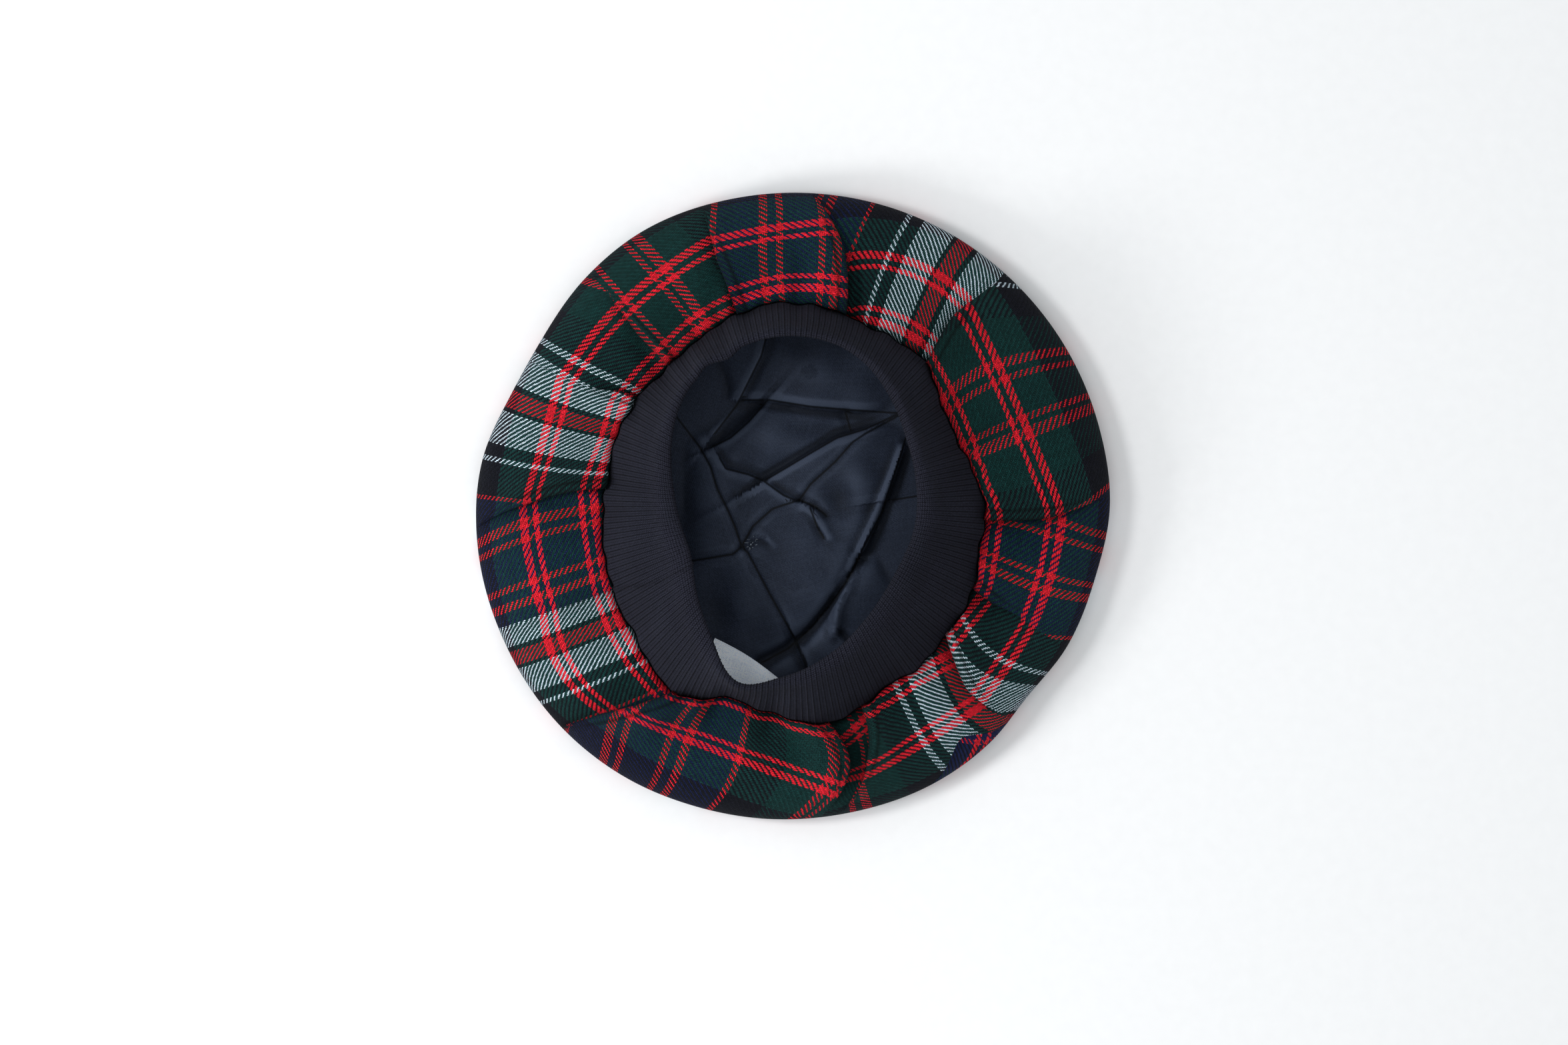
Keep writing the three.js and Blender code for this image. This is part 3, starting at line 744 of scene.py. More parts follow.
# And in threads across it, so that the wide red lines fall where they should.
across = steps_along(strip_points[::-1], 0)[::-1]
weft = np.zeros(strip_size)
plan = np.linalg.norm(strip_points[..., :2], axis=-1)
for c, (kind, start, end, share) in enumerate(columns):
    cw_side = kind == "panel" or (share < 0.5) == (end["over"] < 0)
    where = share if kind == "panel" else float(cw_side)
    owner = start if cw_side else end
    distance = []
    for begin, mid, finish in (owner["outer_line"], owner["inner_line"]):
        bend = mid - (begin + finish) / 2
        line_radius = (mix(begin, finish, where) + 4 * bend * where * (1 - where)) / 1000
        distance.append(np.interp(-line_radius, -plan[:, c], across[:, c]))
    outer_at, inner_at = distance
    pace = (OUTER_LINE - INNER_LINE) / max(outer_at - inner_at, 0.005)
    from_inner = across[:, c] - inner_at
    beyond = OUTER_LINE + (across[:, c] - outer_at)
    between = np.where(across[:, c] > outer_at, beyond, INNER_LINE + from_inner * pace)
    weft[:, c] = np.where(from_inner < 0, INNER_LINE + from_inner, between) / THREAD

strip_grid = tucked(strip_points, 1)
hem = [strip_grid[-1] - (0, 0, drop) for drop in STRIP_HEM]
strip_grid = np.concatenate([strip_grid, hem])


def padded_rows(values):
    """A value for the tucked rows too: they take the rows' beside them."""
    return np.concatenate([values[:1], values[:1], values, values[-1:], values[-1:]])


weft_rows = padded_rows(weft)
for row, threads in ((0, 3), (1, 1), (-2, -2), (-1, -5)):
    weft_rows[row] += threads
following = (np.arange(len(columns)) + 1) % len(columns)
here_thread = padded_rows(np.where(uses_over, over_thread, under_thread))
next_thread = padded_rows(np.where(uses_over, over_thread[:, following], under_thread[:, following]))
in_fold = np.array([kind == "fold" for kind, *_ in columns])
underside = cloth_shell(
    "underside_cloth", strip_grid, np.where(in_fold, FOLD_WALL, CLOTH_WALL), 1,
    np.stack([here_thread, weft_rows], -1), np.stack([next_thread, weft_rows[:, following]], -1),
)
# The painted crease shade, for both faces of the cloth.
crease_shade_rows = np.minimum(padded_rows(crease_shades), 1)
point_values(underside.data, "crease_shade", np.concatenate([crease_shade_rows, crease_shade_rows]))
underside.data.materials.append(tartan_cloth("Tartan, pleated strip", STRIP_ORDER))
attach(underside, "root")
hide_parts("underside")

# The headband: a tube of ribbed wool knit, folded double, 4 mm thick and about 40 mm tall.
# Its foot is sewn behind the strip's rolled edge, and its fold is the lip of the opening.
KNIT_WALL = 0.004
BAND_GAP = 0.0004
FOOT_HEIGHT = BAND_HEIGHT - EDGE_ROLL
FOOT_ROWS = (0.009, 0.006, 0.003)   # the foot's rows, by how far they lie under that
MOUTH_HALF_WIDTH = 0.056
MOUTH_HALF_LENGTH = 0.0775
LIP_RISE = 0.034
BAND_SEAM_DEGS = (204.7, 209.8)     # the band's own seam, at its foot and at the lip
BAND_SEAM_DEPTH = 0.0007
BAND_SEAM_HALF = 0.0016
LIP_SHARES = [
    0.986, 0.984, 0.970, 0.979, 0.988, 0.973, 0.983, 1.018, 1.063, 1.044, 1.004, 0.947,
    0.895, 0.850, 0.905, 0.985, 1.095, 0.983, 0.909, 0.869, 0.870, 0.885, 0.917, 0.965,
]
RIBS = 206
COLUMNS_A_RIB = 6
RIB_DEPTH = 0.0009
KNIT_ROW = 0.0009       # height of a row of stitches
lip_share = round_the_hat(LIP_SHARES)


def lip_radius(deg):
    a, b = MOUTH_HALF_WIDTH, MOUTH_HALF_LENGTH
    angle = np.radians(deg)
    step = 0.0016 * (window(deg, 122, 6) - window(deg, 113, 6))
    return a * b / np.hypot(b * np.cos(angle), a * np.sin(angle)) * lip_share(deg) + step


def lip_turn(deg):
    """The section's turn at the lip: past 90 where the band slumps inwards, at the upper right."""
    return 90 + 26 * window(deg, 50, 48) + 8 * window(deg, 195, 50)


def band_section(deg, up, wall=0.0, nose=None):
    """Radius and height of the band's face: up is 0 at its foot and 1 at the lip.
    nose is an angle over the lip's fold, from its outer face to its inner one."""
    foot = join_radius(deg) - BAND_GAP
    lip = lip_radius(deg) + KNIT_WALL / 2
    rise = LIP_RISE * (1 - 0.1 * np.cos(2 * np.radians(deg))) + EDGE_ROLL
    last = np.radians(lip_turn(deg))
    crest = (lip - foot * np.cos(last)) / (1 - np.cos(last))
    outward, upward = np.cos(last * up), np.sin(last * up)
    radius = crest + (foot - crest) * outward
    height = FOOT_HEIGHT + rise * upward
    # Between foot and lip it is pulled half way to a straight line.
    straight = 0.5 * smooth((1 - up) / 0.3) * smooth(up / 0.2)
    radius = mix(radius, mix(foot, lip, up), straight)
    height = mix(height, mix(FOOT_HEIGHT, FOOT_HEIGHT + rise * np.sin(last), up), straight)
    if nose is None:
        return radius - wall * outward, height - wall * upward
    half = KNIT_WALL / 2
    over, under = half * math.sin(nose), half * (1 - math.cos(nose))
    return radius - under * outward - over * upward, height - under * upward + over * outward


def wandered(deg, up):
    """The ribs lean a little to and fro on their way up."""
    return deg + 0.5 * up * swell(deg, (3, 5, 9), (40, 200, 310)) * np.sin(math.pi * up)


def band_seam_deg(row):
    """Where the band's own seam lies at a row of its mesh, on its slant from the foot to the lip."""
    return mix(*BAND_SEAM_DEGS, smooth(row / 30))


band_count = RIBS * COLUMNS_A_RIB
band_degs = np.arange(band_count) * 360 / band_count
foot_radius = join_radius(band_degs) - BAND_GAP
rows = [polar(band_degs, foot_radius, FOOT_HEIGHT - sunk + 0 * band_degs) for sunk in FOOT_ROWS]
for up in np.linspace(0, 1, 31):
    deg = wandered(band_degs, up)
    rows.append(polar(deg, *band_section(deg, up)))
for k in range(1, 8):
    rows.append(polar(band_degs, *band_section(band_degs, 1.0, nose=math.pi * k / 8)))
for up in np.linspace(1, 0, 17):
    deg = wandered(band_degs, up)
    rows.append(polar(deg, *band_section(deg, up, KNIT_WALL)))
for sunk in reversed(FOOT_ROWS):
    rows.append(polar(band_degs, foot_radius - KNIT_WALL, FOOT_HEIGHT - sunk + 0 * band_degs))
ups = np.array([0, 0, 0, *np.linspace(0, 1, 31), *[1] * 7, *np.linspace(1, 0, 17), 0, 0, 0])
band_rows = len(rows)
band_size = (band_rows, band_count)
band_grid = np.array(rows)
uneven = 0.0006 * swell(band_degs, (4, 9, 14), (0, 90, 200))
band_grid[3:-3, :, 2] += uneven * np.sin(np.linspace(0, math.pi, band_rows - 6))[:, None]
index = np.arange(band_rows * band_count).reshape(band_size)
below = np.roll(index, -1, 0)
corners = np.stack([index, below, np.roll(below, -1, 1), np.roll(index, -1, 1)], -1).reshape(-1, 4)
length = np.cumsum(np.linalg.norm(band_grid - np.roll(band_grid, 1, 0), axis=-1).mean(1))
total_length = length[-1] + np.linalg.norm(band_grid[0] - band_grid[-1], axis=-1).mean()
rib_place = np.broadcast_to(np.arange(band_count) / COLUMNS_A_RIB, band_size)
rise_place = np.broadcast_to(length[:, None] - length[0], band_size)
rise_after = np.concatenate([rise_place[1:], np.full((1, band_count), total_length - length[0])])
rib_after = rib_place + 1 / COLUMNS_A_RIB
face_places = (
    (rib_place, rise_place), (rib_place, rise_after), (rib_after, rise_after), (rib_after, rise_place),
)
knit_uv = np.stack([np.stack(pair, -1) for pair in face_places], -2)
mesh = bpy.data.meshes.new("band_plain")
mesh.from_pydata(band_grid.reshape(-1, 3).tolist(), [], corners.tolist())
mesh.uv_layers.new(name="UVMap").data.foreach_set("uv", knit_uv.astype(np.float32).ravel())
point_values(mesh, "rib", np.mod(rib_place, 1.0))
# The ribs lie flatter at the foot, where they are sewn in, and towards the lip.
hold = mix(1.0, 0.4, ups) * mix(0.35, 1.0, smooth((ups - 0.03) / 0.12))
point_values(mesh, "hold", np.broadcast_to(hold[:, None], band_size))
from_seam = np.abs(band_degs[None, :] - band_seam_deg(np.arange(band_rows))[:, None])
point_values(mesh, "seam", smooth(1 - np.radians(from_seam) * 0.075 / BAND_SEAM_HALF))
mesh.shade_smooth()
band_plain = placed("band_plain", mesh)

knit, tree = new_material("Ribbed wool knit")
across_rib, up_band = uv_parts(tree)
in_rib = across_rib.by("FRACT")
from_middle = (in_rib - 0.5).by("ABSOLUTE")
off_wale = ((in_rib * 2.0).by("FRACT") - 0.5).by("ABSOLUTE")
stitch = up_band / KNIT_ROW + off_wale * 1.2
loop = (stitch * (2 * math.pi)).by("SINE") * 0.5 + 0.5
# Painted light and shade on the stitches: the yarn is paler on each stitch's top and darker between them,
# near-black in the deep valleys between ribs and dark in the shallow ones between stitches.
yarn = loop.blended(dye(20, 21, 28), dye(43, 44, 55))
yarn = from_middle.ranged(0.37, 0.46).blended(yarn, dye(3, 3, 6))
yarn = (from_middle.ranged(0.02, 0.1, 1.0, 0.0) * 0.7).blended(yarn, dye(6, 6, 10))
yarn = (attribute(tree, "seam") * 0.35).blended(yarn, dye(4, 4, 7))
colour, fibres = napped(tree, yarn, dye(66, 68, 84), 0.22, 1300.0)
surface(
    tree, colour, loop.ranged(first=1.0, last=0.82), loop + fibres * 0.8, (0.8, 0.00025),
    specular=0.05, sheen=0.01, sheen_rough=0.6,
)

# Two raised stitches to a rib, with a deep valley between ribs and a shallow one between stitches.
ribs, (band, rib_depth, seam_depth, finish) = node_group(
    "Knit ribs", "GeometryNodeTree",
    {"Band": "Geometry", "Rib depth": "Float", "Seam depth": "Float", "Finish": "Material"},
    {"Band": "Geometry"},
)
in_rib, hold, in_seam = [
    made(ribs, "GeometryNodeInputNamedAttribute", {"Name": name}, data_type="FLOAT")
    for name in ("rib", "hold", "seam")
]
wave = (in_rib * (2 * math.pi)).by("SINE").by("ABSOLUTE")
side_on = (in_rib * math.pi).by("COSINE") ** 2.0
arch = 1.0 - (1.0 - wave ** 0.5) * (side_on * 0.5 + 0.5)
rise = (arch - 0.8) * (rib_depth * hold) - in_seam * seam_depth
outward = made(ribs, "GeometryNodeInputNormal")
offset = made(ribs, "ShaderNodeVectorMath", {0: outward, "Scale": rise}, operation="SCALE")
finish_group(made(ribs, "GeometryNodeSetPosition", {"Geometry": band, "Offset": offset}), finish)
headband = baked(
    band_plain, ribs,
    {"Rib depth": RIB_DEPTH, "Seam depth": BAND_SEAM_DEPTH, "Finish": knit}, "headband_knit",
)
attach(headband, "root")
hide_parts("headband")

# The band's seam stitches: dashes of dark wool sewing thread, 1.6 mm long and 0.8 mm wide.
# They are sewn along the groove where the knit's two ends meet, from the strip's edge to the lip.
STITCH_PITCH = 0.0023
STITCH_LENGTH = 0.0016
STITCH_WIDTH = 0.0008
seam_line = []
for up in np.linspace(0.04, 0.98, 60):
    turned = wandered(band_seam_deg(3 + 30 * up), up)
    seam_line.append(polar(turned, *band_section(turned, up, 0.0002)).tolist())
mesh = bpy.data.meshes.new("seam_line")
mesh.from_pydata(seam_line, [(k, k + 1) for k in range(len(seam_line) - 1)], [])
seam_plain = placed("seam_line", mesh)

sewing, tree = new_material("Dark sewing thread")
strands = noise(tree, 2600.0, 2.0)
surface(
    tree, strands.blended(dye(6, 6, 9), dye(20, 20, 26)), strands.ranged(first=0.9, last=0.7),
    strands, (0.6, 0.0001), specular=0.1,
)

dashes, (lines, pitch, dash_length, dash_width, finish) = node_group(
    "Sewn dashes", "GeometryNodeTree",
    {"Path": "Geometry", "Pitch": "Float", "Length": "Float", "Width": "Float", "Finish": "Material"},
    {"Stitches": "Geometry"},
)
path = made(dashes, "GeometryNodeMeshToCurve", {0: lines})
spaced = made(dashes, "GeometryNodeResampleCurve", {"Curve": path, "Length": pitch}, mode="LENGTH")
along = made(dashes, "GeometryNodeInputTangent")
turned_to = made(dashes, "FunctionNodeAlignRotationToVector", {"Vector": along}, axis="Z")
half_width = dash_width * 0.5
extent = made(dashes, "ShaderNodeCombineXYZ", {0: half_width, 1: half_width, 2: dash_length * 0.5})
bead = made(dashes, "GeometryNodeMeshUVSphere", {"Segments": 10, "Rings": 6, "Radius": 1.0})
finish_group(made(dashes, "GeometryNodeInstanceOnPoints", {
    "Points": spaced, "Instance": bead, "Rotation": turned_to, "Scale": extent,
}), finish)
sizes = {"Pitch": STITCH_PITCH, "Length": STITCH_LENGTH, "Width": STITCH_WIDTH}
stitches = baked(seam_plain, dashes, sizes | {"Finish": sewing}, "band_seam_stitches")
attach(stitches, "root")

# The lining: four gores of thin dark twill that hang from the band's foot and lie on the crown.
# They meet at one point left of the middle. The cloth is larger than its place and lies in folds.
LINING_WALL = 0.0009
LINING_FLOOR = 0.003
LINING_GAP = 0.0008
LINING_THREAD = 0.00032
LINING_MIDDLE = 0.0016  # the innermost ring's distance from where the gores meet
# The bag below its hem: how far it sags out, and its height.
LINING_HANG = [
    (0, 0.0291), (0, 0.0264), (0.0008, 0.0237), (0.003, 0.0205), (0.0058, 0.0172),
    (0.0078, 0.0138), (0.0082, 0.0106), (0.0076, 0.0078), (0.0056, 0.0054),
]
GORE_MEETING = (-0.0225, -0.0178)
GORE_SEAMS = [
    [(-23, -18), (-26, -9), (-29, -2), (-34, 8), (-37, 18), (-42, 27), (-52, 40), (-64, 55)],
    [(-23, -18), (-18, -9), (-9, -1), (3, 3), (8, 10), (19, 20), (27, 29), (33, 33), (46, 40), (70, 55)],
    [(-23, -18), (-27, -21.5), (-42, -24), (-70, -28)],
    [(-23, -18), (-20, -21), (-10, -40), (1, -59.5), (6, -70), (9, -85)],
]
# Each fold: its line in mm, how far one side drops below it, how far off that side has risen
# again, and the side that stays up (1 to the left of the line's way).
LINING_FOLDS = [
    ([(-24, 48), (-11, 48), (8, 45), (26, 43.5), (50, 42)], 6, 9, 1),
    ([(48, 42), (33, 35), (20, 31), (8, 24), (-2, 18), (-13, 11.5)], 6, 10, 1),
    ([(-33, 22), (-30, 17), (-20, 14.5), (-13, 11.5), (-4, 5), (2, 2.5)], 3, 7, -1),
    ([(-36, 27), (-28, 31), (-20, 38), (-12, 47)], 3, 7, -1),
    ([(-35, 33), (-25, 46), (-14, 68), (-12, 76)], 3, 9, 1),
    ([(52, 34), (45, 12), (40, -3), (31, -20)], 7, 7, -1),
    ([(45, 3), (58, 5)], 5, 9, 1),
    ([(1, -60), (6, -72)], 3, 6, 1),
]
# Sharp valleys where the cloth is pinched: a line, its depth and its width.
LINING_CREASES = [
    ([(30, -23), (24, -34), (18, -43), (8, -55), (-2, -64), (-13, -70)], 8, 2.6),
    ([(3, 3), (10, 0), (15, -4)], 2.0, 1.6),
    ([(8, -1), (11, -9), (14, -14)], 1.5, 1.5),
    ([(24, 42), (26, 35)], 2.5, 1.8),
    ([(19, -54), (25, -60)], 2.5, 2.0),
    ([(-15, -15), (-10, -18)], 1.2, 1.3),
    ([(5, -62), (12, -54), (18, -42)], 2.5, 1.6),
]
# Ridges that catch the light, in the same way.
LINING_RIDGES = [
    ([(50, 26), (43, 9), (37, -6), (31, -20), (25, -33), (20, -45), (19, -56)], 4.0, 2.2),
    ([(6, 1), (12, -7), (16, -14)], 1.8, 1.8),
    ([(-17, -13), (-12, -14), (-9, -18)], 1.0, 1.4),
]
# Wide hollows and rises: the middle, the reach along x and y, and the height.
LINING_HOLLOWS = [
    (-39, 52, 13, 15, -10), (46, -18, 10, 20, -7), (21, 2, 7, 9, -3.5), (13, 35, 13, 6, -2.5),
    (-14, -30, 16, 20, 1.5), (6, -32, 12, 16, 1.0), (-8, 32, 14, 10, 1.5), (30, 12, 8, 10, 1.5),
    (4, 62, 24, 12, 3.0), (-34, -46, 8, 14, -3), (-50, 5, 7, 30, -4),
]


def line_distance(x, y, line):
    """Distance from points to a bent line, below zero to the right of its way."""
    best = np.full(np.shape(x), 1e9)
    signed = np.zeros(np.shape(x))
    for (ax, ay), (bx, by) in zip(line[:-1], line[1:]):
        dx, dy = bx - ax, by - ay
        along = np.clip(((x - ax) * dx + (y - ay) * dy) / (dx * dx + dy * dy), 0, 1)
        px, py = x - ax - along * dx, y - ay - along * dy
        away = np.hypot(px, py)
        side = np.sign(dx * (y - ay) - dy * (x - ax))
        nearer = away < best
        best = np.where(nearer, away, best)
        signed = np.where(nearer, away * side, signed)
    return signed


def lining_relief(x, y):
    """Height of the lining's floor over its lowest level, with x and y in mm."""
    from_middle = np.hypot(x / 60, y / 84)
    to_north = window(np.degrees(np.arctan2(y, x)), 85, 50)
    height = 9.5 - 8 * smooth((from_middle - 0.45) / 0.6) * (1 - 0.75 * to_north)
    for middle_x, middle_y, reach_x, reach_y, rise in LINING_HOLLOWS:
        height = height + rise * np.exp(-((x - middle_x) / reach_x) ** 2 - ((y - middle_y) / reach_y) ** 2)
    height = height + 0.35 * np.sin(x / 4.3 + y / 7.1) * np.cos(y / 5.7 - x / 12)
    for line, drop, settle, up in LINING_FOLDS:
        away = line_distance(x, y, line) * up
        under = 0.5 - 0.5 * np.tanh((away + 0.6) / 0.7)
        height = height - drop * under * np.exp(np.minimum(away, 0) / settle)
    for line, deep, width in LINING_CREASES:
        height = height - deep * np.exp(-np.abs(line_distance(x, y, line)) / width)
    for line, tall, width in LINING_RIDGES:
        height = height + tall * np.exp(-((line_distance(x, y, line) / width) ** 2))
    for seam in GORE_SEAMS:
        height = height - 0.6 * np.exp(-((line_distance(x, y, seam) / 0.9) ** 2))
    return np.maximum(height, 0)


def lining_height(x, y):
    return LINING_FLOOR + float(lining_relief(x * 1000, y * 1000)) / 1000


lining_degs = np.arange(480) * 0.75
lining_top = join_radius(lining_degs) - BAND_GAP - KNIT_WALL - LINING_GAP
rows = []
for out, height in LINING_HANG:
    puckers = 0.0006 * swell(lining_degs, (23, 37, 9), (0, 50, 120)) * (0.2 if height > 0.026 else 1.0)
    rows.append(polar(lining_degs, lining_top + out + puckers, height + 0 * lining_degs))
for share in np.linspace(1.0, 0.02, 84):
    ring_points = polar(lining_degs, share * (lining_top + 0.002), 0 * lining_degs)
    ring_points[:, :2] += np.array(GORE_MEETING) * (1 - share)
    relief = lining_relief(ring_points[:, 0] * 1000, ring_points[:, 1] * 1000) / 1000
    ring_points[:, 2] = LINING_FLOOR + relief * smooth((1.02 - share) / 0.06 * 0.5 + 0.3)
    rows.append(ring_points)
lining_grid = np.array(rows)
lining_uv = disc_place(lining_grid, lining_degs, LINING_MIDDLE)
lining = cloth_shell(
    "lining_twill", lining_grid, LINING_WALL, 1, lining_uv, np.roll(lining_uv, -1, 1),
    pole=((*GORE_MEETING, lining_height(*GORE_MEETING)), (0, 0)),
)
# How far each point lies from the nearest seam, fold or crease, with its side as the sign: it places the
# painted shade along these lines.
edge_lines = [*GORE_SEAMS, *[row[0] for row in LINING_FOLDS], *[row[0] for row in LINING_CREASES[:4]]]
spots = np.empty(len(lining.data.vertices) * 3)
lining.data.vertices.foreach_get("co", spots)
x, y, z = spots.reshape(-1, 3).T * 1000
ways = np.array([line_distance(x, y, line) for line in edge_lines])
way = np.take_along_axis(ways, np.abs(ways).argmin(0)[None], 0)[0]
point_values(lining.data, "line side", way)
point_values(lining.data, "line reach", np.abs(way))
# And how far it stands above the cloth around it, for painted light on the raised folds and painted shade
# in the hollows between them.
around = [lining_relief(x + dx, y + dy) for dx, dy in ((4, 0), (-4, 0), (0, 4), (0, -4))]
point_values(lining.data, "lift", np.where(z < 14, lining_relief(x, y) - sum(around) / 4, 0))

lining_cloth, tree = new_material("Lining twill")
warp, weft = [part / LINING_THREAD for part in uv_parts(tree)]
cloth, height = woven(tree, warp, weft, dye(46, 54, 71), dye(36, 43, 58), 0.35)
colour, _ = napped(tree, cloth, dye(76, 86, 102), 0.2, 1300.0)
# Painted shade: a thin near-black line along each seam, fold and crease, where shade falls in its narrow
# valley.
on_line = attribute(tree, "line side").by("ABSOLUTE").ranged(0.2, 0.7, 1.0, 0.0)
painted_line_shade = on_line * attribute(tree, "line reach").ranged(1.2, 1.8, 0.9, 0.0)
lift = attribute(tree, "lift")
# Painted highlight on the raised folds and painted shade in the hollows, by how far each point stands
# above its neighbours.
colour = lift.ranged(0.0, 1.0, 0.0, 0.5).blended(colour, dye(82, 92, 112))
colour = lift.ranged(0.0, -1.2, 0.0, 0.65).blended(colour, dye(10, 13, 19))
colour = painted_line_shade.blended(colour, dye(6, 8, 12))
surface(
    tree, colour, height.ranged(first=0.7, last=0.55), height, (0.5, 0.00015),
    specular=0.15, sheen=0.01,
)
lining.data.materials.append(lining_cloth)
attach(lining, "root")
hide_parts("lining")

# The tuft: sixteen cut ends of the lining's cotton sewing thread, 1.5 to 3.8 mm long.
# They are left over from the seams and lie curled in a small knot beside the gores' meeting.
THREAD_RADIUS = 0.00014
THREAD_ENDS = 16
THREAD_STEPS = 8
chance = np.random.default_rng(7)
tuft_points = []
tuft_edges = []
for k in range(THREAD_ENDS):
    heading = chance.uniform(0, 2 * math.pi)
    curl = chance.uniform(-2.5, 2.5)
    reach = chance.uniform(0.0015, 0.0038)
    x = GORE_MEETING[0] + 0.0045 + chance.normal(0, 0.0006)
    y = GORE_MEETING[1] + 0.0015 + chance.normal(0, 0.0006)
    for s in range(THREAD_STEPS + 1):
        rise = 0.0004 + 0.0012 * math.sin(math.pi * s / THREAD_STEPS) * (0.4 + 0.6 * (k % 3) / 2)
        tuft_points.append((x, y, lining_height(x, y) + rise))
        if s:
            tuft_edges.append((len(tuft_points) - 2, len(tuft_points) - 1))
        turned = heading + curl * s / THREAD_STEPS
        x += reach / THREAD_STEPS * math.cos(turned)
        y += reach / THREAD_STEPS * math.sin(turned)
mesh = bpy.data.meshes.new("tuft_lines")
mesh.from_pydata(tuft_points, tuft_edges, [])
tuft_plain = placed("tuft_lines", mesh)

fibre, tree = new_material("Lining thread")
patches = noise(tree, 900.0, 1.0)
pale = patches.ranged(0.56, 0.6)
surface(
    tree, pale.blended(dye(40, 47, 60), dye(150, 160, 172)), patches.ranged(first=0.8, last=0.6),
    patches, (0.5, 0.0001), specular=0.2,
)

loose, (lines, thread_radius, finish) = node_group(
    "Laid threads", "GeometryNodeTree",
    {"Lines": "Geometry", "Radius": "Float", "Finish": "Material"}, {"Threads": "Geometry"},
)
path = made(loose, "GeometryNodeMeshToCurve", {0: lines})
section = made(loose, "GeometryNodeCurvePrimitiveCircle", {"Resolution": 6, "Radius": thread_radius})
winding = {"Curve": path, "Profile Curve": section, "Fill Caps": True}
finish_group(made(loose, "GeometryNodeCurveToMesh", winding), finish)
tuft = baked(tuft_plain, loose, {"Radius": THREAD_RADIUS, "Finish": fibre}, "lining_thread_tuft")
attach(tuft, "root")

# The label: a short piece of white satin ribbon, blank, sewn into the band's seam by its long edge.
# It hangs down inside the opening and lies on the lining at the bottom left.
LABEL_WALL = 0.0005
LABEL_THREAD = 0.0003
LABEL_ROWS = 26
LABEL_COLUMNS = 40
LABEL_DEGS = (241, 265)
LABEL_SEAM_IN = 0.0072  # its seam's distance in from the strip's edge
LABEL_SEAM_HEIGHT = 0.029
LABEL_FREE_EDGE = np.array([(-0.0350, -0.0592, 0.0105), (-0.0062, -0.0775, 0.0100)])
share = np.linspace(0, 1, LABEL_COLUMNS)
deg = mix(*LABEL_DEGS, share)
seam = polar(deg, join_radius(deg) - LABEL_SEAM_IN, LABEL_SEAM_HEIGHT + 0 * deg)
free = mix(*LABEL_FREE_EDGE, share[:, None])
free[:, 2] += 0.0010 * np.sin(share * 7.0)
free[:, 1] += 0.0014 * np.sin(share * math.pi)
rows = []
for down in np.linspace(0, 1, LABEL_ROWS):
    row = mix(seam, free, down)
    # It drops steeply from its seam, out of sight, and then lies flatter.
    row[:, 2] = mix(seam[:, 2], free[:, 2], down ** 0.4)
    row[:, 2] += 0.002 * math.sin(math.pi * down) * np.cos(share * 5)
    rows.append(row)
way_along, way_down = np.linspace(0, 0.034, LABEL_COLUMNS), np.linspace(0, 0.03, LABEL_ROWS)
label_uv = np.stack(np.meshgrid(way_along, way_down), -1)
label = cloth_shell(
    "label_satin", np.array(rows), LABEL_WALL, 1, label_uv, np.roll(label_uv, -1, 1), ring=False,
)
satin, tree = new_material("Label satin")
warp, weft = [part / LABEL_THREAD for part in uv_parts(tree)]
cloth, height = woven(tree, warp, weft, dye(233, 243, 255), dye(242, 248, 255), 0.08)
surface(
    tree, cloth, height.ranged(first=0.55, last=0.35), height, (0.4, 0.0001),
    sheen=0.5, sheen_tint=dye(222, 236, 255),
)
label.data.materials.append(satin)
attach(label, "root")
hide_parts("label")

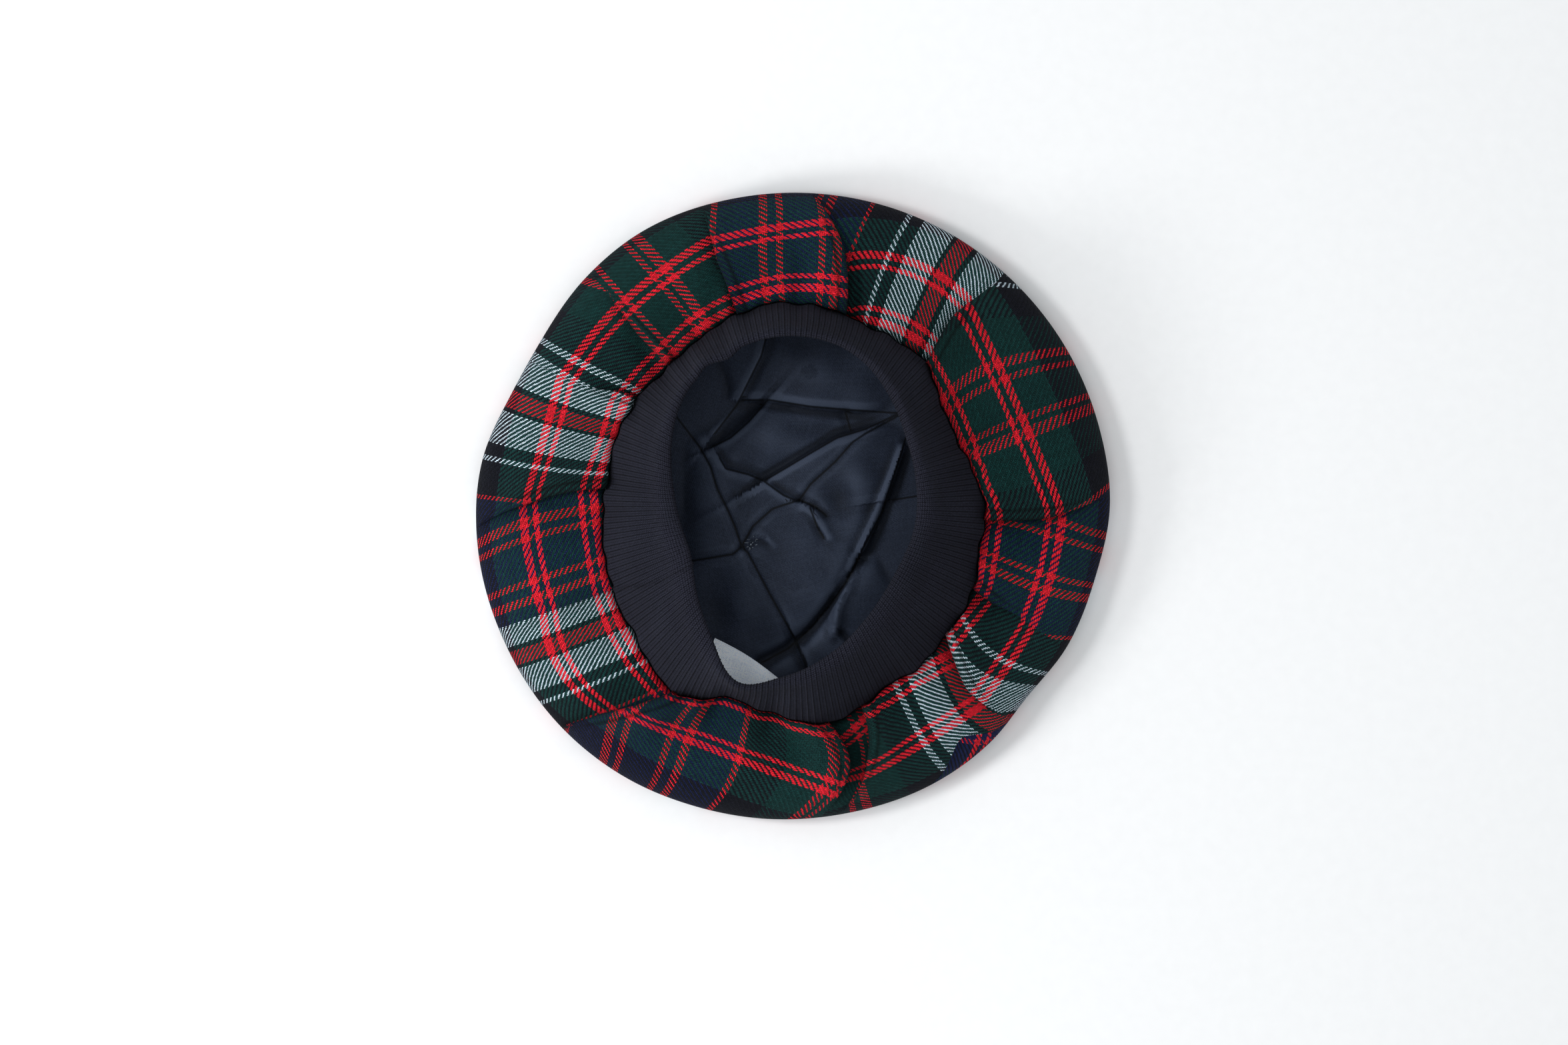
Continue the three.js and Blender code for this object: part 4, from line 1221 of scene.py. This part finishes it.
# The studio: a pale seamless floor and a bright world, with a wide weak light overhead
# and two small ones at the left, which show the weave and the folds.
bpy.ops.mesh.primitive_plane_add(size=3.0, location=(0, 0, -0.0002))
floor = bpy.context.object
floor.name = "floor"
paper, tree = new_material("Seamless paper")
tone = noise(tree, 160.0, 2.0).blended((0.86, 0.86, 0.86, 1), (0.9, 0.9, 0.9, 1))
tree.links.new(tone.socket, tree.nodes["Principled BSDF"].inputs["Base Color"])
tree.nodes["Principled BSDF"].inputs["Roughness"].default_value = 0.9
floor.data.materials.append(paper)
floor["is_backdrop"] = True
LIGHTS = [
    ("overhead", 1.2, (-0.1, -0.1, 1.8), 4.5, (0.96, 0.98, 1.0)),
    ("key", 0.35, (-0.95, 0.1, 1.3), 8, (0.98, 0.99, 1.0)),
    ("side", 0.4, (-1.4, -0.5, 0.8), 12, (0.98, 0.99, 1.0)),
]
for name, size, place, power, colour in LIGHTS:
    lamp = bpy.data.lights.new(name, "AREA")
    lamp.shape = "DISK"
    lamp.size = size
    lamp.energy = power
    lamp.color = colour
    holder = placed(name, lamp)
    holder.location = place
    holder.rotation_euler = (-holder.location).to_track_quat("-Z", "Y").to_euler()
world = bpy.data.worlds.new("studio")
world.use_nodes = True
world.node_tree.nodes["Background"].inputs[0].default_value = (0.95, 0.98, 1.0, 1)
world.node_tree.nodes["Background"].inputs[1].default_value = 0.65
bpy.context.scene.world = world
bpy.context.scene.view_settings.view_transform = "Standard"

# The camera looks straight down, as the photograph's did.
CAMERA_PLACE = (-0.0039, -0.0072, 4.0)
LEVEL_IN_VIEW = 0.012   # the height over the floor at which the frame is FRAME_WIDTH wide
FRAME_WIDTH = 0.7056
lens = bpy.data.cameras.new("camera")
lens.sensor_width = 36
lens.lens = 36 * (CAMERA_PLACE[2] - LEVEL_IN_VIEW) / FRAME_WIDTH
lens.clip_end = 20
camera = placed("camera", lens)
camera.location = CAMERA_PLACE
bpy.context.scene.camera = camera

look_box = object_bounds()
sizes = {"cad": [list(corner) for corner in cad_box], "look": [list(corner) for corner in look_box]}
